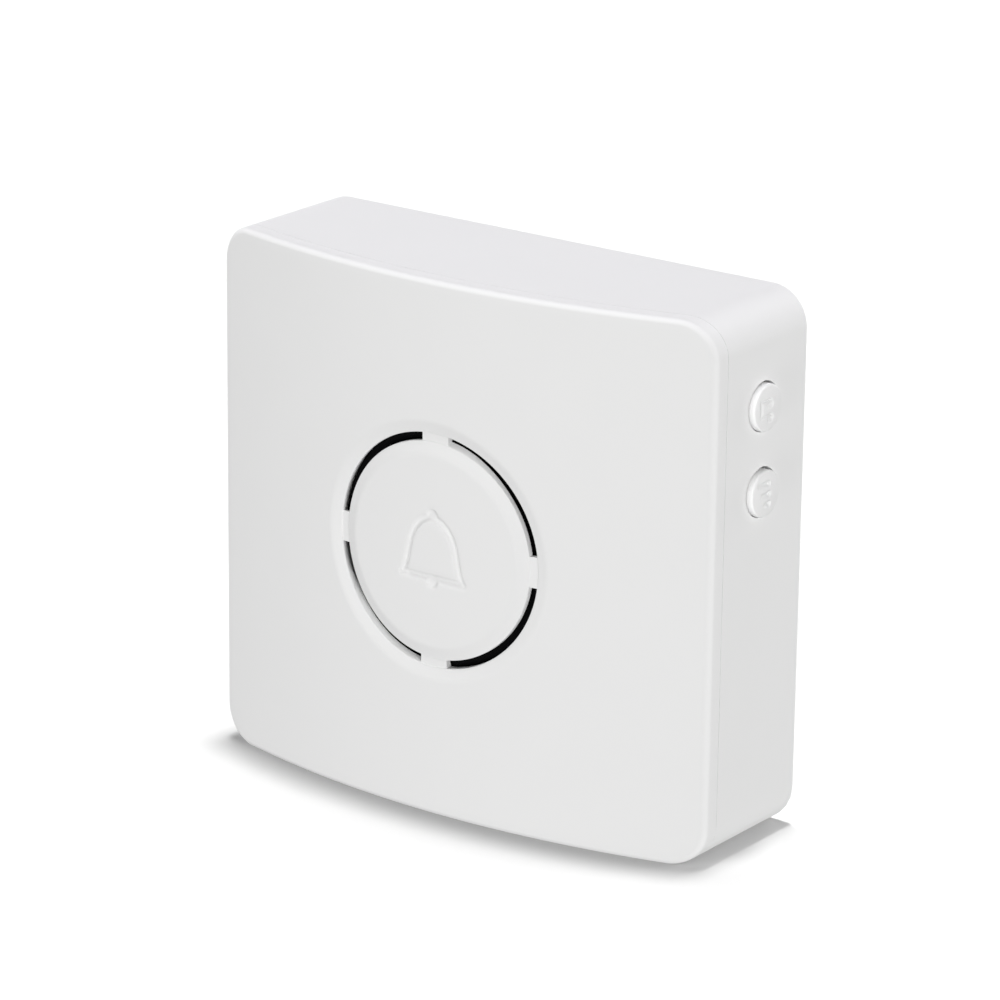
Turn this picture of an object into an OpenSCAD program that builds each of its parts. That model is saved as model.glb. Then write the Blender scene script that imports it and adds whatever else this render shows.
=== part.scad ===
// Wireless doorbell chime: a white box with a bulged front cover, a ring of
// sound slots around a fixed disc, two push buttons in its right side, and a
// hinged battery flap in its back. It stands on its flat bottom or hangs on a
// screw by the keyhole in its back.
// Frame: X to the right seen from the front, Y towards the back, Z up.
// The origin is on the bottom face, below the middle of the body.

/* [Body] */
// Width of the body
body_w = 91; // [90.6:0.1:92]
// Height of the body
body_h = 84; // [83.6:0.1:85]
// Depth from the top of the bulge to the back face
body_d = 31; // [30.8:0.1:32]
// How far the front bulges between its two side edges
front_sag = 7.1; // [6.6:0.1:7.3]
// Radius of the four corners seen from the front
corner_r = 6.1; // [5.6:0.1:6.6]
// Thickness of the side walls
wall = 2.0; // [1.8:0.1:2.1]
// Thickness of the back wall
back_wall = 2.4; // [2.3:0.1:2.6]

/* [Front cover] */
// Thickness of the front plate
plate_t = 2.0; // [1.8:0.1:2.2]
// Depth of the cover's side band, from the front edge to the seam
cover_edge = 2.8; // [2.5:0.1:3.2]
// Width of the open seam between cover and housing
seam_gap = 0.15; // [0.1:0.05:0.3]
// Inner radius of the sound slots
slot_r_in = 17.0; // [16.4:0.1:17.2]
// Outer radius of the sound slots
slot_r_out = 18.3; // [17.8:0.1:18.4]
// Width of the four bridges between the slots
bridge_w = 4.8; // [3:0.2:7]
// Depth of the shallow valley that the slots lie in
valley_depth = 0.7; // [0.4:0.1:0.8]
// Thickness of the plate that is left around the slots, with the valley
slot_plate = 1.5; // [1.3:0.1:1.7]
// Depth of the engraved bell below the top of the bulge
bell_depth = 0.55; // [0.4:0.05:0.8]
// Width of the engraved line
bell_line = 1.3; // [1:0.05:1.4]

/* [Side buttons] */
// Radius of a button's cap
button_r = 3.6; // [3.4:0.1:3.7]
// Radius of the holes for the caps
button_hole_r = 3.9; // [3.85:0.05:4]
// How far a cap stands out of the side
button_proud = 1.15; // [0.9:0.05:1.4]
// How far a button travels
button_travel = 0.8; // [0.4:0.1:0.8]
// Height of the upper button
button_z_upper = 68.75; // [68.4:0.05:68.9]
// Height of the lower button
button_z_lower = 55.65; // [55.2:0.05:56]
// Depth position of the buttons
button_y = 4.0; // [3.8:0.1:4.2]

/* [Back] */
// Radius of the keyhole's round entry
keyhole_r = 4.0; // [3.6:0.1:4.2]
// Half width of the keyhole's slot
keyhole_slot_r = 2.0; // [1.6:0.1:2.2]
// Radius of the battery flap's hinge barrel
barrel_r = 1.2; // [1.1:0.05:1.2]
// Radius of the flap's two hinge stubs
stub_r = 0.8; // [0.6:0.05:0.8]

/* [Hidden] */

$fn = 96;
e = 0.5;                                   // overlap inside one solid
y_front = -body_d / 2;                     // top of the bulge
y_back = body_d / 2;                       // back face
y_in = y_back - back_wall;                 // inner face of the back wall
front_r = (body_w * body_w / 4 + front_sag * front_sag) / (2 * front_sag);
zc = body_h / 2;                           // height of the ring and speaker
x_side = body_w / 2;                       // right side face
x_in = x_side - wall;                      // inner face of the right side

white = [0.93, 0.93, 0.92];
black = [0.06, 0.06, 0.07];
steel = [0.72, 0.73, 0.75];

// case screw axes, the same inset from both edges
inset_x = 6.9;
inset_z = 6.8;
case_xz = [for (sx = [-1, 1], z = [inset_z, body_h - inset_z]) [sx * (x_side - inset_x), z]];
boss_y = 4.0;                              // where cover posts meet housing bosses
seat_y = 6.0;                              // seat of the case screw heads

// battery bay, inside faces
bay_x = [-36.5, 19.5];
bay_z = [17.5, 62.5];
bay_floor = -1.6;
bay_t = 1.2;
cell_r = 7.15;
cell_y = bay_floor + 0.4 + cell_r;
cell_z = [25, 40, 55];
cell_body = 48.95;
nub_len = 1.1;
plate_th = 0.4;
cell_flip = [1, -1, 1];                    // 1: positive end to the right
bay_mid = (bay_x[0] + bay_x[1]) / 2;
bay_half = (bay_x[1] - bay_x[0]) / 2;

// battery flap
door_x = [bay_x[0] - 1.6, bay_x[1] + 1.6];
door_z0 = bay_z[0] - 1.6;
door_t = 1.4;
hinge_y = y_back - barrel_r;
hinge_z = 65;
door_gap = 0.3;
latch_x = bay_mid;

// keyhole
key_z = 72;
key_top = 78;

// circuit board
board_y = 6.6;
board_t = 1.6;
board_x = [22.5, 40.0];
board_z = [12, 72];
board_screw_xz = [[31, 15.5], [26.5, 68.5]];

// speaker
spk_y = -11.4;                             // flat seat of the gasket
spk_r = 20.2;
clamp_y = spk_y + 1.5;
clamp_r = 25.5;
clamp_a = [90, 210, 330];

// ---- shared shapes -------------------------------------------------------

// extrudes a front-view outline from depth y0 to depth y1
module slab_y(y0, y1) {
  translate([0, y1, 0]) rotate([90, 0, 0]) linear_extrude(y1 - y0) children();
}

// turns a profile of (radius, depth) about the speaker's axis
module turn_y() {
  translate([0, 0, zc]) rotate([-90, 0, 0]) rotate_extrude() children();
}

// cylinder along Y at x, z
module rod_y(x, z, y0, y1, r) {
  translate([x, y0, z]) rotate([-90, 0, 0]) cylinder(r = r, h = y1 - y0);
}

// cylinder along X at y, z
module rod_x(y, z, x0, x1, r) {
  translate([x0, y, z]) rotate([0, 90, 0]) cylinder(r = r, h = x1 - x0);
}

module box(x, y, z) {
  translate([x[0], y[0], z[0]]) cube([x[1] - x[0], y[1] - y[0], z[1] - z[0]]);
}

// front view of the body, moved in by inset
module outline(inset = 0) {
  w = body_w - 2 * inset;
  h = body_h - 2 * inset;
  r = corner_r - inset;
  translate([0, zc]) union() {
    square([w - 2 * r, h], center = true);
    square([w, h - 2 * r], center = true);
    for (sx = [-1, 1], sz = [-1, 1])
      translate([sx * (w / 2 - r), sz * (h / 2 - r)]) circle(r = r);
  }
}

// everything behind the bulged front surface, moved back by s
module behind(s) {
  translate([0, y_front + front_r + s, -20])
    cylinder(r = front_r, h = body_h + 40, $fn = 720);
}

// half width of the bell at height z above the disc's centre: a tall dome above
// nearly straight sides that flare out to a blunt rim
function bell_w(z) = z > 1.2 ? 5.05 * sqrt(max(0, 1 - pow((z + 1) / 6.9, 2)))
  : min(6.3, 4.787 + 0.2 * (1.2 - z) + 0.47 * exp(-(z + 3.95) / 0.75));

function bell_side(z0, z1, cut, n = 20) =
  [for (i = [0:n]) let (z = z0 + (z1 - z0) * (1 - cos(180 * i / n)) / 2)
    [max(0.02, bell_w(z) - cut), z]];

function mirrored(p) = concat(p, [for (i = [len(p) - 1:-1:0]) [-p[i][0], p[i][1]]]);

module bell_outline() {
  translate([0, zc]) {
    difference() {
      polygon(mirrored(bell_side(-4.8, 5.85, 0)));
      polygon(mirrored(bell_side(-4.8 + bell_line, 5.9 - bell_line, bell_line)));
    }
    translate([0, 5.5]) circle(r = 1.2, $fn = 32);
    intersection() {
      translate([0, -4.65]) circle(r = 1.2, $fn = 32);
      translate([-2, -7]) square([4, 2.3]);
    }
  }
}

// round wire swept along points, ref is never along the wire
function unit(v) = v / norm(v);
function tangent(p, i) =
  unit(p[min(i + 1, len(p) - 1)] - p[max(i - 1, 0)]);

module wire(p, r, ref, n = 8) {
  rings = [for (i = [0:len(p) - 1])
    let (t = tangent(p, i), u = unit(cross(ref, t)), v = cross(t, u))
    for (k = [0:n - 1]) p[i] + r * (cos(360 * k / n) * u + sin(360 * k / n) * v)];
  sides = [for (i = [0:len(p) - 2], k = [0:n - 1])
    let (a = i * n + k, b = i * n + (k + 1) % n) [a, a + n, b + n, b]];
  first = [for (k = [0:n - 1]) k];
  last = [for (k = [n - 1:-1:0]) (len(p) - 1) * n + k];
  polyhedron(points = rings, faces = concat(sides, [first, last]), convexity = 6);
}

// smooth curve through route points
function spline_point(a, b, c, d, t) =
  0.5 * (2 * b + (c - a) * t + (2 * a - 5 * b + 4 * c - d) * t * t + (3 * b - a - 3 * c + d) * t * t * t);
function smooth(p, m = 4) = concat(
  [for (i = [0:len(p) - 2], k = [0:m - 1])
    spline_point(p[max(i - 1, 0)], p[i], p[i + 1], p[min(i + 2, len(p) - 1)], k / m)],
  [p[len(p) - 1]]);

// screw along Y, head at depth y, pointing towards the front (dir -1) or the back (dir 1)
module screw_y(x, z, y, dir, head_r, head_h, shank_r, len) {
  translate([x, y, z]) rotate([dir > 0 ? -90 : 90, 0, 0]) difference() {
    union() {
      translate([0, 0, -head_h]) cylinder(r = head_r, h = head_h);
      translate([0, 0, -0.2]) cylinder(r = shank_r, h = len + 0.2);
    }
    for (a = [0, 90]) rotate([0, 0, a])
      translate([-head_r * 0.6, -head_r * 0.12, -head_h - 1])
        cube([head_r * 1.2, head_r * 0.24, 1 + head_h * 0.55]);
  }
}

// ---- case ------------------------------------------------------------------

module front_cover() color(white) difference() {
  union() {
    // bulged plate with its side band
    difference() {
      intersection() {
        slab_y(y_front - 1, 8) outline(0);
        difference() { behind(0); behind(cover_edge); }
      }
      intersection() {
        slab_y(y_front - 1, 9) outline(wall);
        behind(plate_t);
      }
    }
    // locating lip that enters the housing
    intersection() {
      slab_y(y_front - 1, 8) difference() { outline(wall + 0.15); outline(wall + 1.35); }
      difference() { behind(plate_t - e); behind(cover_edge + 2.2); }
    }
    // posts for the case screws
    for (p = case_xz) intersection() {
      rod_y(p[0], p[1], y_front, boss_y, 3.0);
      behind(plate_t - e);
    }
    // collar with a flat seat for the speaker
    turn_y() polygon([[18.6, -13.9], [21.8, -13.9], [21.8, clamp_y], [spk_r + 0.2, clamp_y],
                      [spk_r + 0.2, spk_y], [18.6, spk_y]]);
    // posts for the speaker clamp
    for (a = clamp_a) intersection() {
      rod_y(clamp_r * cos(a), zc + clamp_r * sin(a), y_front, clamp_y, 2.4);
      behind(plate_t - e);
    }
  }
  // shallow valley around the slots, in two steps
  for (k = [1, 2]) difference() {
    slab_y(y_front - 2, -12) translate([0, zc]) difference() {
      circle(r = slot_r_out + 2.1 - 0.7 * k);
      circle(r = slot_r_in - 2.1 + 0.7 * k);
    }
    behind(valley_depth * k / 2);
  }
  // groove that thins the plate behind the slots
  intersection() {
    slab_y(y_front, -10) translate([0, zc]) difference() {
      circle(r = 18.6);
      circle(r = slot_r_in - 0.8);
    }
    behind(slot_plate);
  }
  // four arc slots
  slab_y(y_front - 2, -11.9) translate([0, zc]) difference() {
    circle(r = slot_r_out);
    circle(r = slot_r_in);
    square([bridge_w, 60], center = true);
    square([60, bridge_w], center = true);
  }
  // engraved bell
  slab_y(y_front - 2, y_front + bell_depth) bell_outline();
  // pilot holes
  for (p = case_xz) rod_y(p[0], p[1], -6.5, boss_y + 1, 1.27);
  for (a = clamp_a)
    rod_y(clamp_r * cos(a), zc + clamp_r * sin(a), -11.9, clamp_y + 1, 0.92);
}

module rear_housing() color(white) difference() {
  union() {
    // open box
    difference() {
      intersection() {
        slab_y(y_front - 1, y_back) outline(0);
        behind(cover_edge + seam_gap);
      }
      slab_y(y_front - 5, y_in) outline(wall);
    }
    // walls and floor of the battery bay
    box([bay_x[0] - bay_t, bay_x[1] + bay_t], [bay_floor - bay_t, y_in + e],
        [bay_z[0] - bay_t, bay_z[1] + bay_t]);
    // bosses for the case screws
    for (p = case_xz) rod_y(p[0], p[1], boss_y, y_in + e, 3.9);
    // posts for the circuit board
    for (p = board_screw_xz) rod_y(p[0], p[1], board_y + board_t, y_in + e, 2.6);
    // guide ribs beside the buttons
    for (s = [-1, 1]) box([40.4, x_in + e],
        s > 0 ? [button_y + 4.95, button_y + 6.15] : [button_y - 6.15, button_y - 4.95],
        [49.5, 74.4]);
    // bar that carries the flap's hinge
    box([-x_side + 1, 24.5], [11.6, y_in + e], [bay_z[1] + e, 67.6]);
    // hood behind the keyhole
    box([-6.5, 6.5], [8.0, y_in + e], [66.6, body_h - 1]);
  }
  // room for the cells
  box(bay_x, [bay_floor, y_back + 1], bay_z);
  // recess of the flap
  box([door_x[0] - door_gap, door_x[1] + door_gap], [y_back - door_t - 0.05, y_back + 1],
      [door_z0 - door_gap, hinge_z + barrel_r + door_gap]);
  // groove and holes for the hinge
  rod_x(hinge_y, hinge_z, door_x[0] - door_gap, door_x[1] + door_gap, barrel_r + door_gap);
  rod_x(hinge_y, hinge_z, door_x[0] - 1.8, door_x[1] + 1.8, stub_r + 0.05);
  // notch for the latch
  box([latch_x - 4.6, latch_x + 4.6], [y_back - 1.7, y_back + 1], [door_z0 - 1.6, door_z0]);
  // case screw holes with their sunk heads
  for (p = case_xz) {
    rod_y(p[0], p[1], boss_y - 1, y_back + 1, 1.5);
    rod_y(p[0], p[1], seat_y, y_back + 1, 2.7);
  }
  // circuit board screws
  for (p = board_screw_xz) rod_y(p[0], p[1], board_y, 12.4, 0.97);
  // holes for the two buttons
  for (z = [button_z_upper, button_z_lower]) rod_x(button_y, z, 40, x_side + 3, button_hole_r);
  // keyhole and the space behind it
  rod_y(0, key_z, 10, y_back + 1, keyhole_r);
  rod_y(0, key_top, 10, y_back + 1, keyhole_slot_r);
  box([-keyhole_slot_r, keyhole_slot_r], [10, y_back + 1], [key_z, key_top]);
  box([-5.3, 5.3], [9.2, y_in], [67.8, body_h - wall - 0.6]);
  // slots for the solder tabs of the two end contacts
  box([bay_x[1] - 0.1, bay_x[1] + bay_t + 1], [0.9, 5.1], [22.9, 27.1]);
  box([bay_x[0] - bay_t - 1, bay_x[0] + 0.1], [0.9, 5.1], [52.9, 57.1]);
}

module battery_door() color(white) difference() {
  union() {
    box(door_x, [y_back - door_t, y_back], [door_z0, hinge_z]);
    rod_x(hinge_y, hinge_z, door_x[0], door_x[1], barrel_r);
    rod_x(hinge_y, hinge_z, door_x[0] - 1.6, door_x[1] + 1.6, stub_r);
    // nib of the latch
    box([latch_x - 4, latch_x + 4], [y_back - door_t, y_back - 0.5], [door_z0 - 1.2, door_z0 + e]);
  }
  // slots that free the latch tongue
  for (s = [-1, 1])
    box([latch_x + s * 6 - 0.4, latch_x + s * 6 + 0.4], [y_back - 5, y_back + 1], [door_z0 - 1, door_z0 + 9]);
  // grooves of the thumb grip
  for (k = [0:3])
    box([latch_x - 4.2, latch_x + 4.2], [y_back - 0.5, y_back + 1], [door_z0 + 2 + 1.7 * k, door_z0 + 2.8 + 1.7 * k]);
}

// ---- buttons and switches --------------------------------------------------

// half profile of a cap, (radius, depth inwards from the top of its domed face)
cap_profile = concat(
  [for (k = [0:5]) let (r = (button_r - 0.25) * k / 5) [r, r * r / 50]],
  [[button_r - 0.08, 0.34], [button_r, 0.55], [button_r, button_proud + wall + 1.2], [0, button_proud + wall + 1.2]]);

// cap with a slightly domed face, a square flange and a stem
module button_cap(z) {
  translate([x_side + button_proud, button_y, z]) rotate([0, -90, 0])
    rotate_extrude() polygon(cap_profile);
  box([x_in - 1.2, x_in - 0.1], [button_y - 4.7, button_y + 4.7], [z - 4.7, z + 4.7]);
  rod_x(button_y, z, 40.2, x_in - 1, 1.6);
}

// engraved sign in a cap, drawn in the plane of (depth, height)
module into_cap(z) {
  translate([x_side + button_proud - 0.35, button_y, z]) rotate([90, 0, 90]) linear_extrude(1) children();
}

// the note sign lies on its side
module melody_button() color(white) difference() {
  button_cap(button_z_upper);
  into_cap(button_z_upper) union() {
    translate([-2.3, -1.25]) square([0.7, 2.65]);
    for (s = [0, 1]) {
      translate([-2, -1.25 + 2.3 * s]) square([3.15 - 0.2 * s, 0.35]);
      translate([0.75 - 0.15 * s, -1.55 + 2.3 * s]) circle(r = 0.65, $fn = 32);
    }
  }
}

// three bars of growing length
module volume_button() color(white) difference() {
  button_cap(button_z_lower);
  into_cap(button_z_lower) union() for (k = [0:2])
    translate([-0.45 - 0.83 * k, -2.02 + 1.57 * k]) square([1.5 + 0.83 * k, 0.85]);
}

module switch_body(z) color(black) difference() {
  union() {
    box([34.9, 38.3], [2 * button_y - board_y, board_y], [z - 3, z + 3]);
    box([38.3 - e, 38.7], [2 * button_y - board_y + 0.3, board_y - 0.3], [z - 2.6, z + 2.6]);
  }
  rod_x(button_y, z, 35.6, 40, 1.85);
}

module switch_plunger(z) color([0.15, 0.15, 0.16]) rod_x(button_y, z, 36.6, 40.2, 1.75);

module melody_switch_body() switch_body(button_z_upper);
module melody_switch_plunger() switch_plunger(button_z_upper);
module volume_switch_body() switch_body(button_z_lower);
module volume_switch_plunger() switch_plunger(button_z_lower);

// ---- electronics -----------------------------------------------------------

module main_board() color([0.05, 0.35, 0.2]) difference() {
  box(board_x, [board_y, board_y + board_t], board_z);
  for (p = board_screw_xz) rod_y(p[0], p[1], board_y - 1, board_y + board_t + 1, 1.1);
}

module board_screws() color(steel)
  for (p = board_screw_xz) screw_y(p[0], p[1], board_y, 1, 1.9, 1.2, 0.93, 5);

module controller_chip() color(black) union() {
  box([26.5, 31.5], [board_y - 1.75, board_y - 0.25], [40, 50]);
  for (s = [0, 1], k = [0:6]) {
    box(s > 0 ? [31.3, 32.4] : [25.6, 26.7], [board_y - 1.1, board_y - 0.85], [40.99 + 1.27 * k, 41.39 + 1.27 * k]);
    box(s > 0 ? [32.1, 32.4] : [25.6, 25.9], [board_y - 1.0, board_y], [40.99 + 1.27 * k, 41.39 + 1.27 * k]);
    box(s > 0 ? [32.1, 33] : [25, 25.9], [board_y - 0.25, board_y], [40.99 + 1.27 * k, 41.39 + 1.27 * k]);
  }
}

module crystal() color(steel) union() {
  slab_y(board_y - 3.5, board_y - 0.3) union() {
    translate([25.1, 35.1]) square([6.6, 3.4]);
    for (x = [25.1, 31.7]) translate([x, 36.8]) circle(r = 1.7);
  }
  slab_y(board_y - 0.8, board_y) union() {
    translate([25.1, 34.7]) square([6.6, 4.2]);
    for (x = [25.1, 31.7]) translate([x, 36.8]) circle(r = 2.1);
  }
}

module capacitor() color([0.12, 0.14, 0.3]) difference() {
  union() {
    rod_y(28, 57, board_y - 7, board_y - 0.8, 3.15);
    box([24.7, 31.3], [board_y - 1, board_y], [53.7, 60.3]);
  }
  for (a = [0, 90]) translate([28, board_y - 7, 57]) rotate([0, a, 0])
    translate([-2.2, -1, -0.15]) cube([4.4, 1.25, 0.3]);
}

module radio_board() color([0.06, 0.3, 0.18]) union() {
  box([34.2, 39.7], [board_y - 2.6, board_y - 1.6], [19.5, 36]);
  box([34.4, 39.5], [board_y - 2, board_y], [19.8, 22.3]);
  box([34.9, 39.0], [board_y - 4.1, board_y - 2.3], [25, 33]);
}

// coil standing over the radio board's end
coil_r = 2.1;
coil_pts = concat(
  [[37, board_y - 2.1, 36.03], [37, board_y - 2.1, 36.4], [37, board_y - 1.7, 37.2]],
  [for (i = [0:84]) let (a = 360 * i / 12) [37 + coil_r * sin(a), 3.4 + coil_r * cos(a), 37.9 + 1.5 * i / 12]]);
module antenna_coil() color([0.75, 0.45, 0.25]) wire(coil_pts, 0.35, [0.02, 0.01, 1]);

module connector(z) color([0.92, 0.9, 0.84]) difference() {
  box([26, 33], [board_y - 6.9, board_y], [z - 2.75, z + 2.75]);
  for (x = [28.3, 30.7]) box([x - 0.75, x + 0.75], [board_y - 8, board_y - 5.4], [z - 0.75, z + 0.75]);
}
module speaker_connector() connector(30.7);
module battery_connector() connector(21.7);

// ---- speaker ---------------------------------------------------------------

module dust_cloth() color(black) intersection() {
  slab_y(y_front, -9) translate([0, zc]) difference() { circle(r = 18.45); circle(r = 14.5); }
  difference() { behind(plate_t + 0.02); behind(plate_t + 0.4); }
}

module speaker_gasket() color([0.2, 0.2, 0.2])
  turn_y() translate([18.7, spk_y]) square([spk_r - 18.7, 0.5]);

module speaker_frame() color([0.3, 0.31, 0.33]) difference() {
  turn_y() polygon([[18.0, -10.9], [17.4, -10.3], [11.2, -6.8], [7.8, -6.8], [7.8, -6.0],
                    [11.6, -6.0], [17.6, -9.4], [18.6, -9.9], [spk_r, -9.9], [spk_r, -10.9]]);
  for (k = [0:5]) translate([0, 0, zc]) rotate([0, 60 * k + 30, 0])
    box([12.4, 15.8], [-12, -4], [-3.4, 3.4]);
}

module speaker_cone() color([0.12, 0.12, 0.13]) turn_y() union() {
  polygon([[0, -10.7], [2.2, -10.5], [4.0, -9.9], [5.3, -8.9], [15.0, -10.7], [16.0, -11.3], [17.0, -11.25],
           [18.6, -11.25], [18.6, -10.9], [16.9, -10.9], [16.1, -10.95], [15.2, -10.3], [5.4, -8.45],
           [5.3, -5.2], [4.85, -5.2], [4.85, -8.8], [3.8, -9.5], [2.1, -10.1], [0, -10.3]]);
}

module speaker_magnet() color([0.16, 0.16, 0.17])
  turn_y() translate([5.7, -6.0]) square([3.6, 2.1]);

module speaker_yoke() color(steel) turn_y()
  polygon([[0, -8.2], [4.4, -8.2], [4.4, -3.9], [9.3, -3.9], [9.3, -3.1], [0, -3.1]]);

module speaker_terminals() color([0.5, 0.4, 0.25]) difference() {
  box([-4.5, 4.5], [-5.95, -5.15], [25.5, 31]);
  for (s = [-1, 1]) rod_y(2.5 * s, 29.3, -7, -4, 0.5);
}

module speaker_clamp() color([0.85, 0.85, 0.84]) difference() {
  slab_y(clamp_y, clamp_y + 1.2) union() {
    translate([0, zc]) difference() { circle(r = 23); circle(r = 19); }
    for (a = clamp_a) translate([0, zc]) rotate(a) {
      translate([22, -2.8]) square([clamp_r - 22, 5.6]);
      translate([clamp_r, 0]) circle(r = 2.8);
    }
  }
  for (a = clamp_a) rod_y(clamp_r * cos(a), zc + clamp_r * sin(a), clamp_y - 1, clamp_y + 2, 1.1);
}

module speaker_screws() color(steel)
  for (a = clamp_a) screw_y(clamp_r * cos(a), zc + clamp_r * sin(a), clamp_y + 1.2, -1, 1.9, 1.2, 0.9, 3);

// ---- battery ---------------------------------------------------------------

// one cell along X, positive end to the right
module cell() {
  rod_x(0, 0, bay_half - plate_th - 0.05 - nub_len - cell_body, bay_half - plate_th - 0.05 - nub_len, cell_r);
  rod_x(0, 0, bay_half - plate_th - 0.15 - nub_len, bay_half - plate_th - 0.05, 2.7);
}

module battery_cells() color([0.25, 0.27, 0.3]) for (k = [0:2])
  translate([bay_mid, cell_y, cell_z[k]]) rotate([0, 0, cell_flip[k] > 0 ? 0 : 180]) cell();

// conical spring on the negative side of a cell
spring_len = 2 * bay_half - 2 * plate_th - 0.1 - nub_len - cell_body;
spring_pts = [for (i = [0:56]) let (t = i / 56, a = 360 * 3.5 * t,
    c = max(0, min(1, (t - 0.14) / 0.72)))
  [0.5 + (spring_len - 1.0) * c, (4.4 - 2.0 * t) * cos(a), (4.4 - 2.0 * t) * sin(a)]];

module battery_springs() color(steel) for (k = [0:2])
  translate([bay_mid, cell_y, cell_z[k]]) rotate([0, 0, cell_flip[k] > 0 ? 0 : 180])
    translate([-bay_half + plate_th, 0, 0]) wire(spring_pts, 0.4, [1, 0.03, 0.02]);

module contact_plates() color(steel) union() {
  xr = [bay_x[1] - plate_th, bay_x[1]];
  xl = [bay_x[0], bay_x[0] + plate_th];
  yy = [cell_y - 5, cell_y + 5];
  // right: single end contact with its tab, and the joined pair
  box(xr, yy, [20, 30]);
  box([bay_x[1] - plate_th, bay_x[1] + bay_t + 1.4], [2.9, 3.3], [23.5, 26.5]);
  box(xr, yy, [35, 60]);
  // left: the joined pair, and the single end contact with its tab
  box(xl, yy, [20, 45]);
  box(xl, yy, [50, 60]);
  box([bay_x[0] - bay_t - 1.4, bay_x[0] + plate_th], [2.9, 3.3], [53.5, 56.5]);
}

// ---- screws and leads ------------------------------------------------------

module case_screws() color(steel)
  for (p = case_xz) screw_y(p[0], p[1], seat_y, -1, 2.4, 1.7, 1.25, 11);

spk_red = [[2.5, -4.4, 28.2], [4.5, -4.2, 25.5], [12, -4.2, 21.8], [19, -4.4, 21.6], [23.5, -5.6, 25], [26, -5.8, 29],
           [27.8, -4.4, 30.6], [28.3, -2.2, 30.7], [28.3, 0.9, 30.7]];
spk_black = [[-2.5, -4.4, 28.2], [-0.5, -4.2, 24], [8, -4.2, 19.8], [18, -4.4, 19.4], [25, -6.2, 22.6], [29, -6.8, 27],
             [30.5, -5.2, 30.3], [30.7, -2.6, 30.7], [30.7, 0.9, 30.7]];
bat_red = [[22.4, 2.3, 25], [22.9, 0.2, 24.6], [24.2, -2, 23.2], [26.6, -3.2, 22], [28.1, -2.4, 21.7], [28.3, -0.8, 21.7], [28.3, 0.9, 21.7]];
bat_black = [[-39.2, 2.3, 55], [-39.6, 0.6, 57], [-39.8, 0.2, 61], [-38, 0.2, 64.6], [-33, 0.4, 65.4], [-16, 0.4, 65.4], [4, 0.4, 65.4],
             [16, 0.4, 65.4], [21, 0.3, 65], [22.6, -0.4, 62], [22.8, -2, 54], [23.4, -3.8, 40], [25, -4.6, 27], [28.6, -4.4, 22.4],
             [30.5, -2.8, 21.7], [30.7, -0.9, 21.7], [30.7, 0.9, 21.7]];

module speaker_lead_red() color([0.7, 0.08, 0.06]) wire(smooth(spk_red), 0.6, [0.13, 0.31, -0.94]);
module speaker_lead_black() color(black) wire(smooth(spk_black), 0.6, [0.13, 0.31, -0.94]);
module battery_lead_red() color([0.7, 0.08, 0.06]) wire(smooth(bat_red), 0.6, [0.13, 0.31, 0.94]);
module battery_lead_black() color(black) wire(smooth(bat_black), 0.6, [0.5, -0.2, 0.84]);

// ---- nodes -----------------------------------------------------------------

front_cover();
rear_housing();
battery_door();
melody_button();
volume_button();
melody_switch_body();
melody_switch_plunger();
volume_switch_body();
volume_switch_plunger();
main_board();
board_screws();
controller_chip();
crystal();
capacitor();
radio_board();
antenna_coil();
speaker_connector();
battery_connector();
dust_cloth();
speaker_gasket();
speaker_frame();
speaker_cone();
speaker_magnet();
speaker_yoke();
speaker_terminals();
speaker_clamp();
speaker_screws();
battery_cells();
battery_springs();
contact_plates();
case_screws();
speaker_lead_red();
speaker_lead_black();
battery_lead_red();
battery_lead_black();
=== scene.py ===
import math

import bmesh
import bpy
import numpy as np
from mathutils import Matrix, Vector
from mathutils.geometry import delaunay_2d_cdt


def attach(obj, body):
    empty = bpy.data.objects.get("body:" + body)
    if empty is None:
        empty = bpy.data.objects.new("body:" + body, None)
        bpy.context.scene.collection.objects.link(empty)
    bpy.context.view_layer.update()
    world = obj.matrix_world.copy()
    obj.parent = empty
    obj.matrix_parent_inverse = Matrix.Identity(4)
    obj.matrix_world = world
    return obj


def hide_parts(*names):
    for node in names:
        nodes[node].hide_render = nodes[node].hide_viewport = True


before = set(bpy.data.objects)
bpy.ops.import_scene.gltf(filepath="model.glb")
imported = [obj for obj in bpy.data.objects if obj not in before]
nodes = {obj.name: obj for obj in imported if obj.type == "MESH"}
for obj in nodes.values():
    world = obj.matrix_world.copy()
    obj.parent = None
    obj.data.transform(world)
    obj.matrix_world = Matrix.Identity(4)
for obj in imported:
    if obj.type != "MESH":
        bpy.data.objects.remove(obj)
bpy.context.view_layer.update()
scene = bpy.context.scene
MM = 0.001

# ---- sizes, as in the CAD source ---------------------------------------------
W, H, ZC = 91.0, 84.0, 42.0
YF, YB = -15.5, 15.5
SAG, CORNER = 7.1, 6.1
R_FRONT = (W * W / 4 + SAG * SAG) / (2 * SAG)
PLATE, WALL = 2.0, 2.0
Y_IN = YB - 2.4
SEAM = 2.8
SLOT_IN, SLOT_OUT, BRIDGE = 17.0, 18.3, 4.8
DISH_IN, DISH_OUT = 15.1, 20.15
BTN_R, BTN_HOLE, BTN_Y, BTN_Z = 3.6, 3.85, 4.0, (68.75, 55.65)
X_SIDE, PROUD = 45.5, 1.15
X_IN = X_SIDE - WALL
CASE_XZ = [(sx * 38.6, z) for sx in (-1, 1) for z in (6.8, 77.2)]
BAY_X, BAY_Z, BAY_FLOOR = (-36.5, 19.5), (17.5, 62.5), -1.6
BAY_MID, BAY_HALF = -8.5, 28.0
DOOR_X, DOOR_Z0 = (-38.1, 21.1), 15.9
HINGE_Y, HINGE_Z, BARREL = 14.3, 65.0, 1.2
LATCH_X = -8.5
CELL_R, CELL_Y, CELL_Z = 7.15, 5.95, (25.0, 40.0, 55.0)


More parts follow.
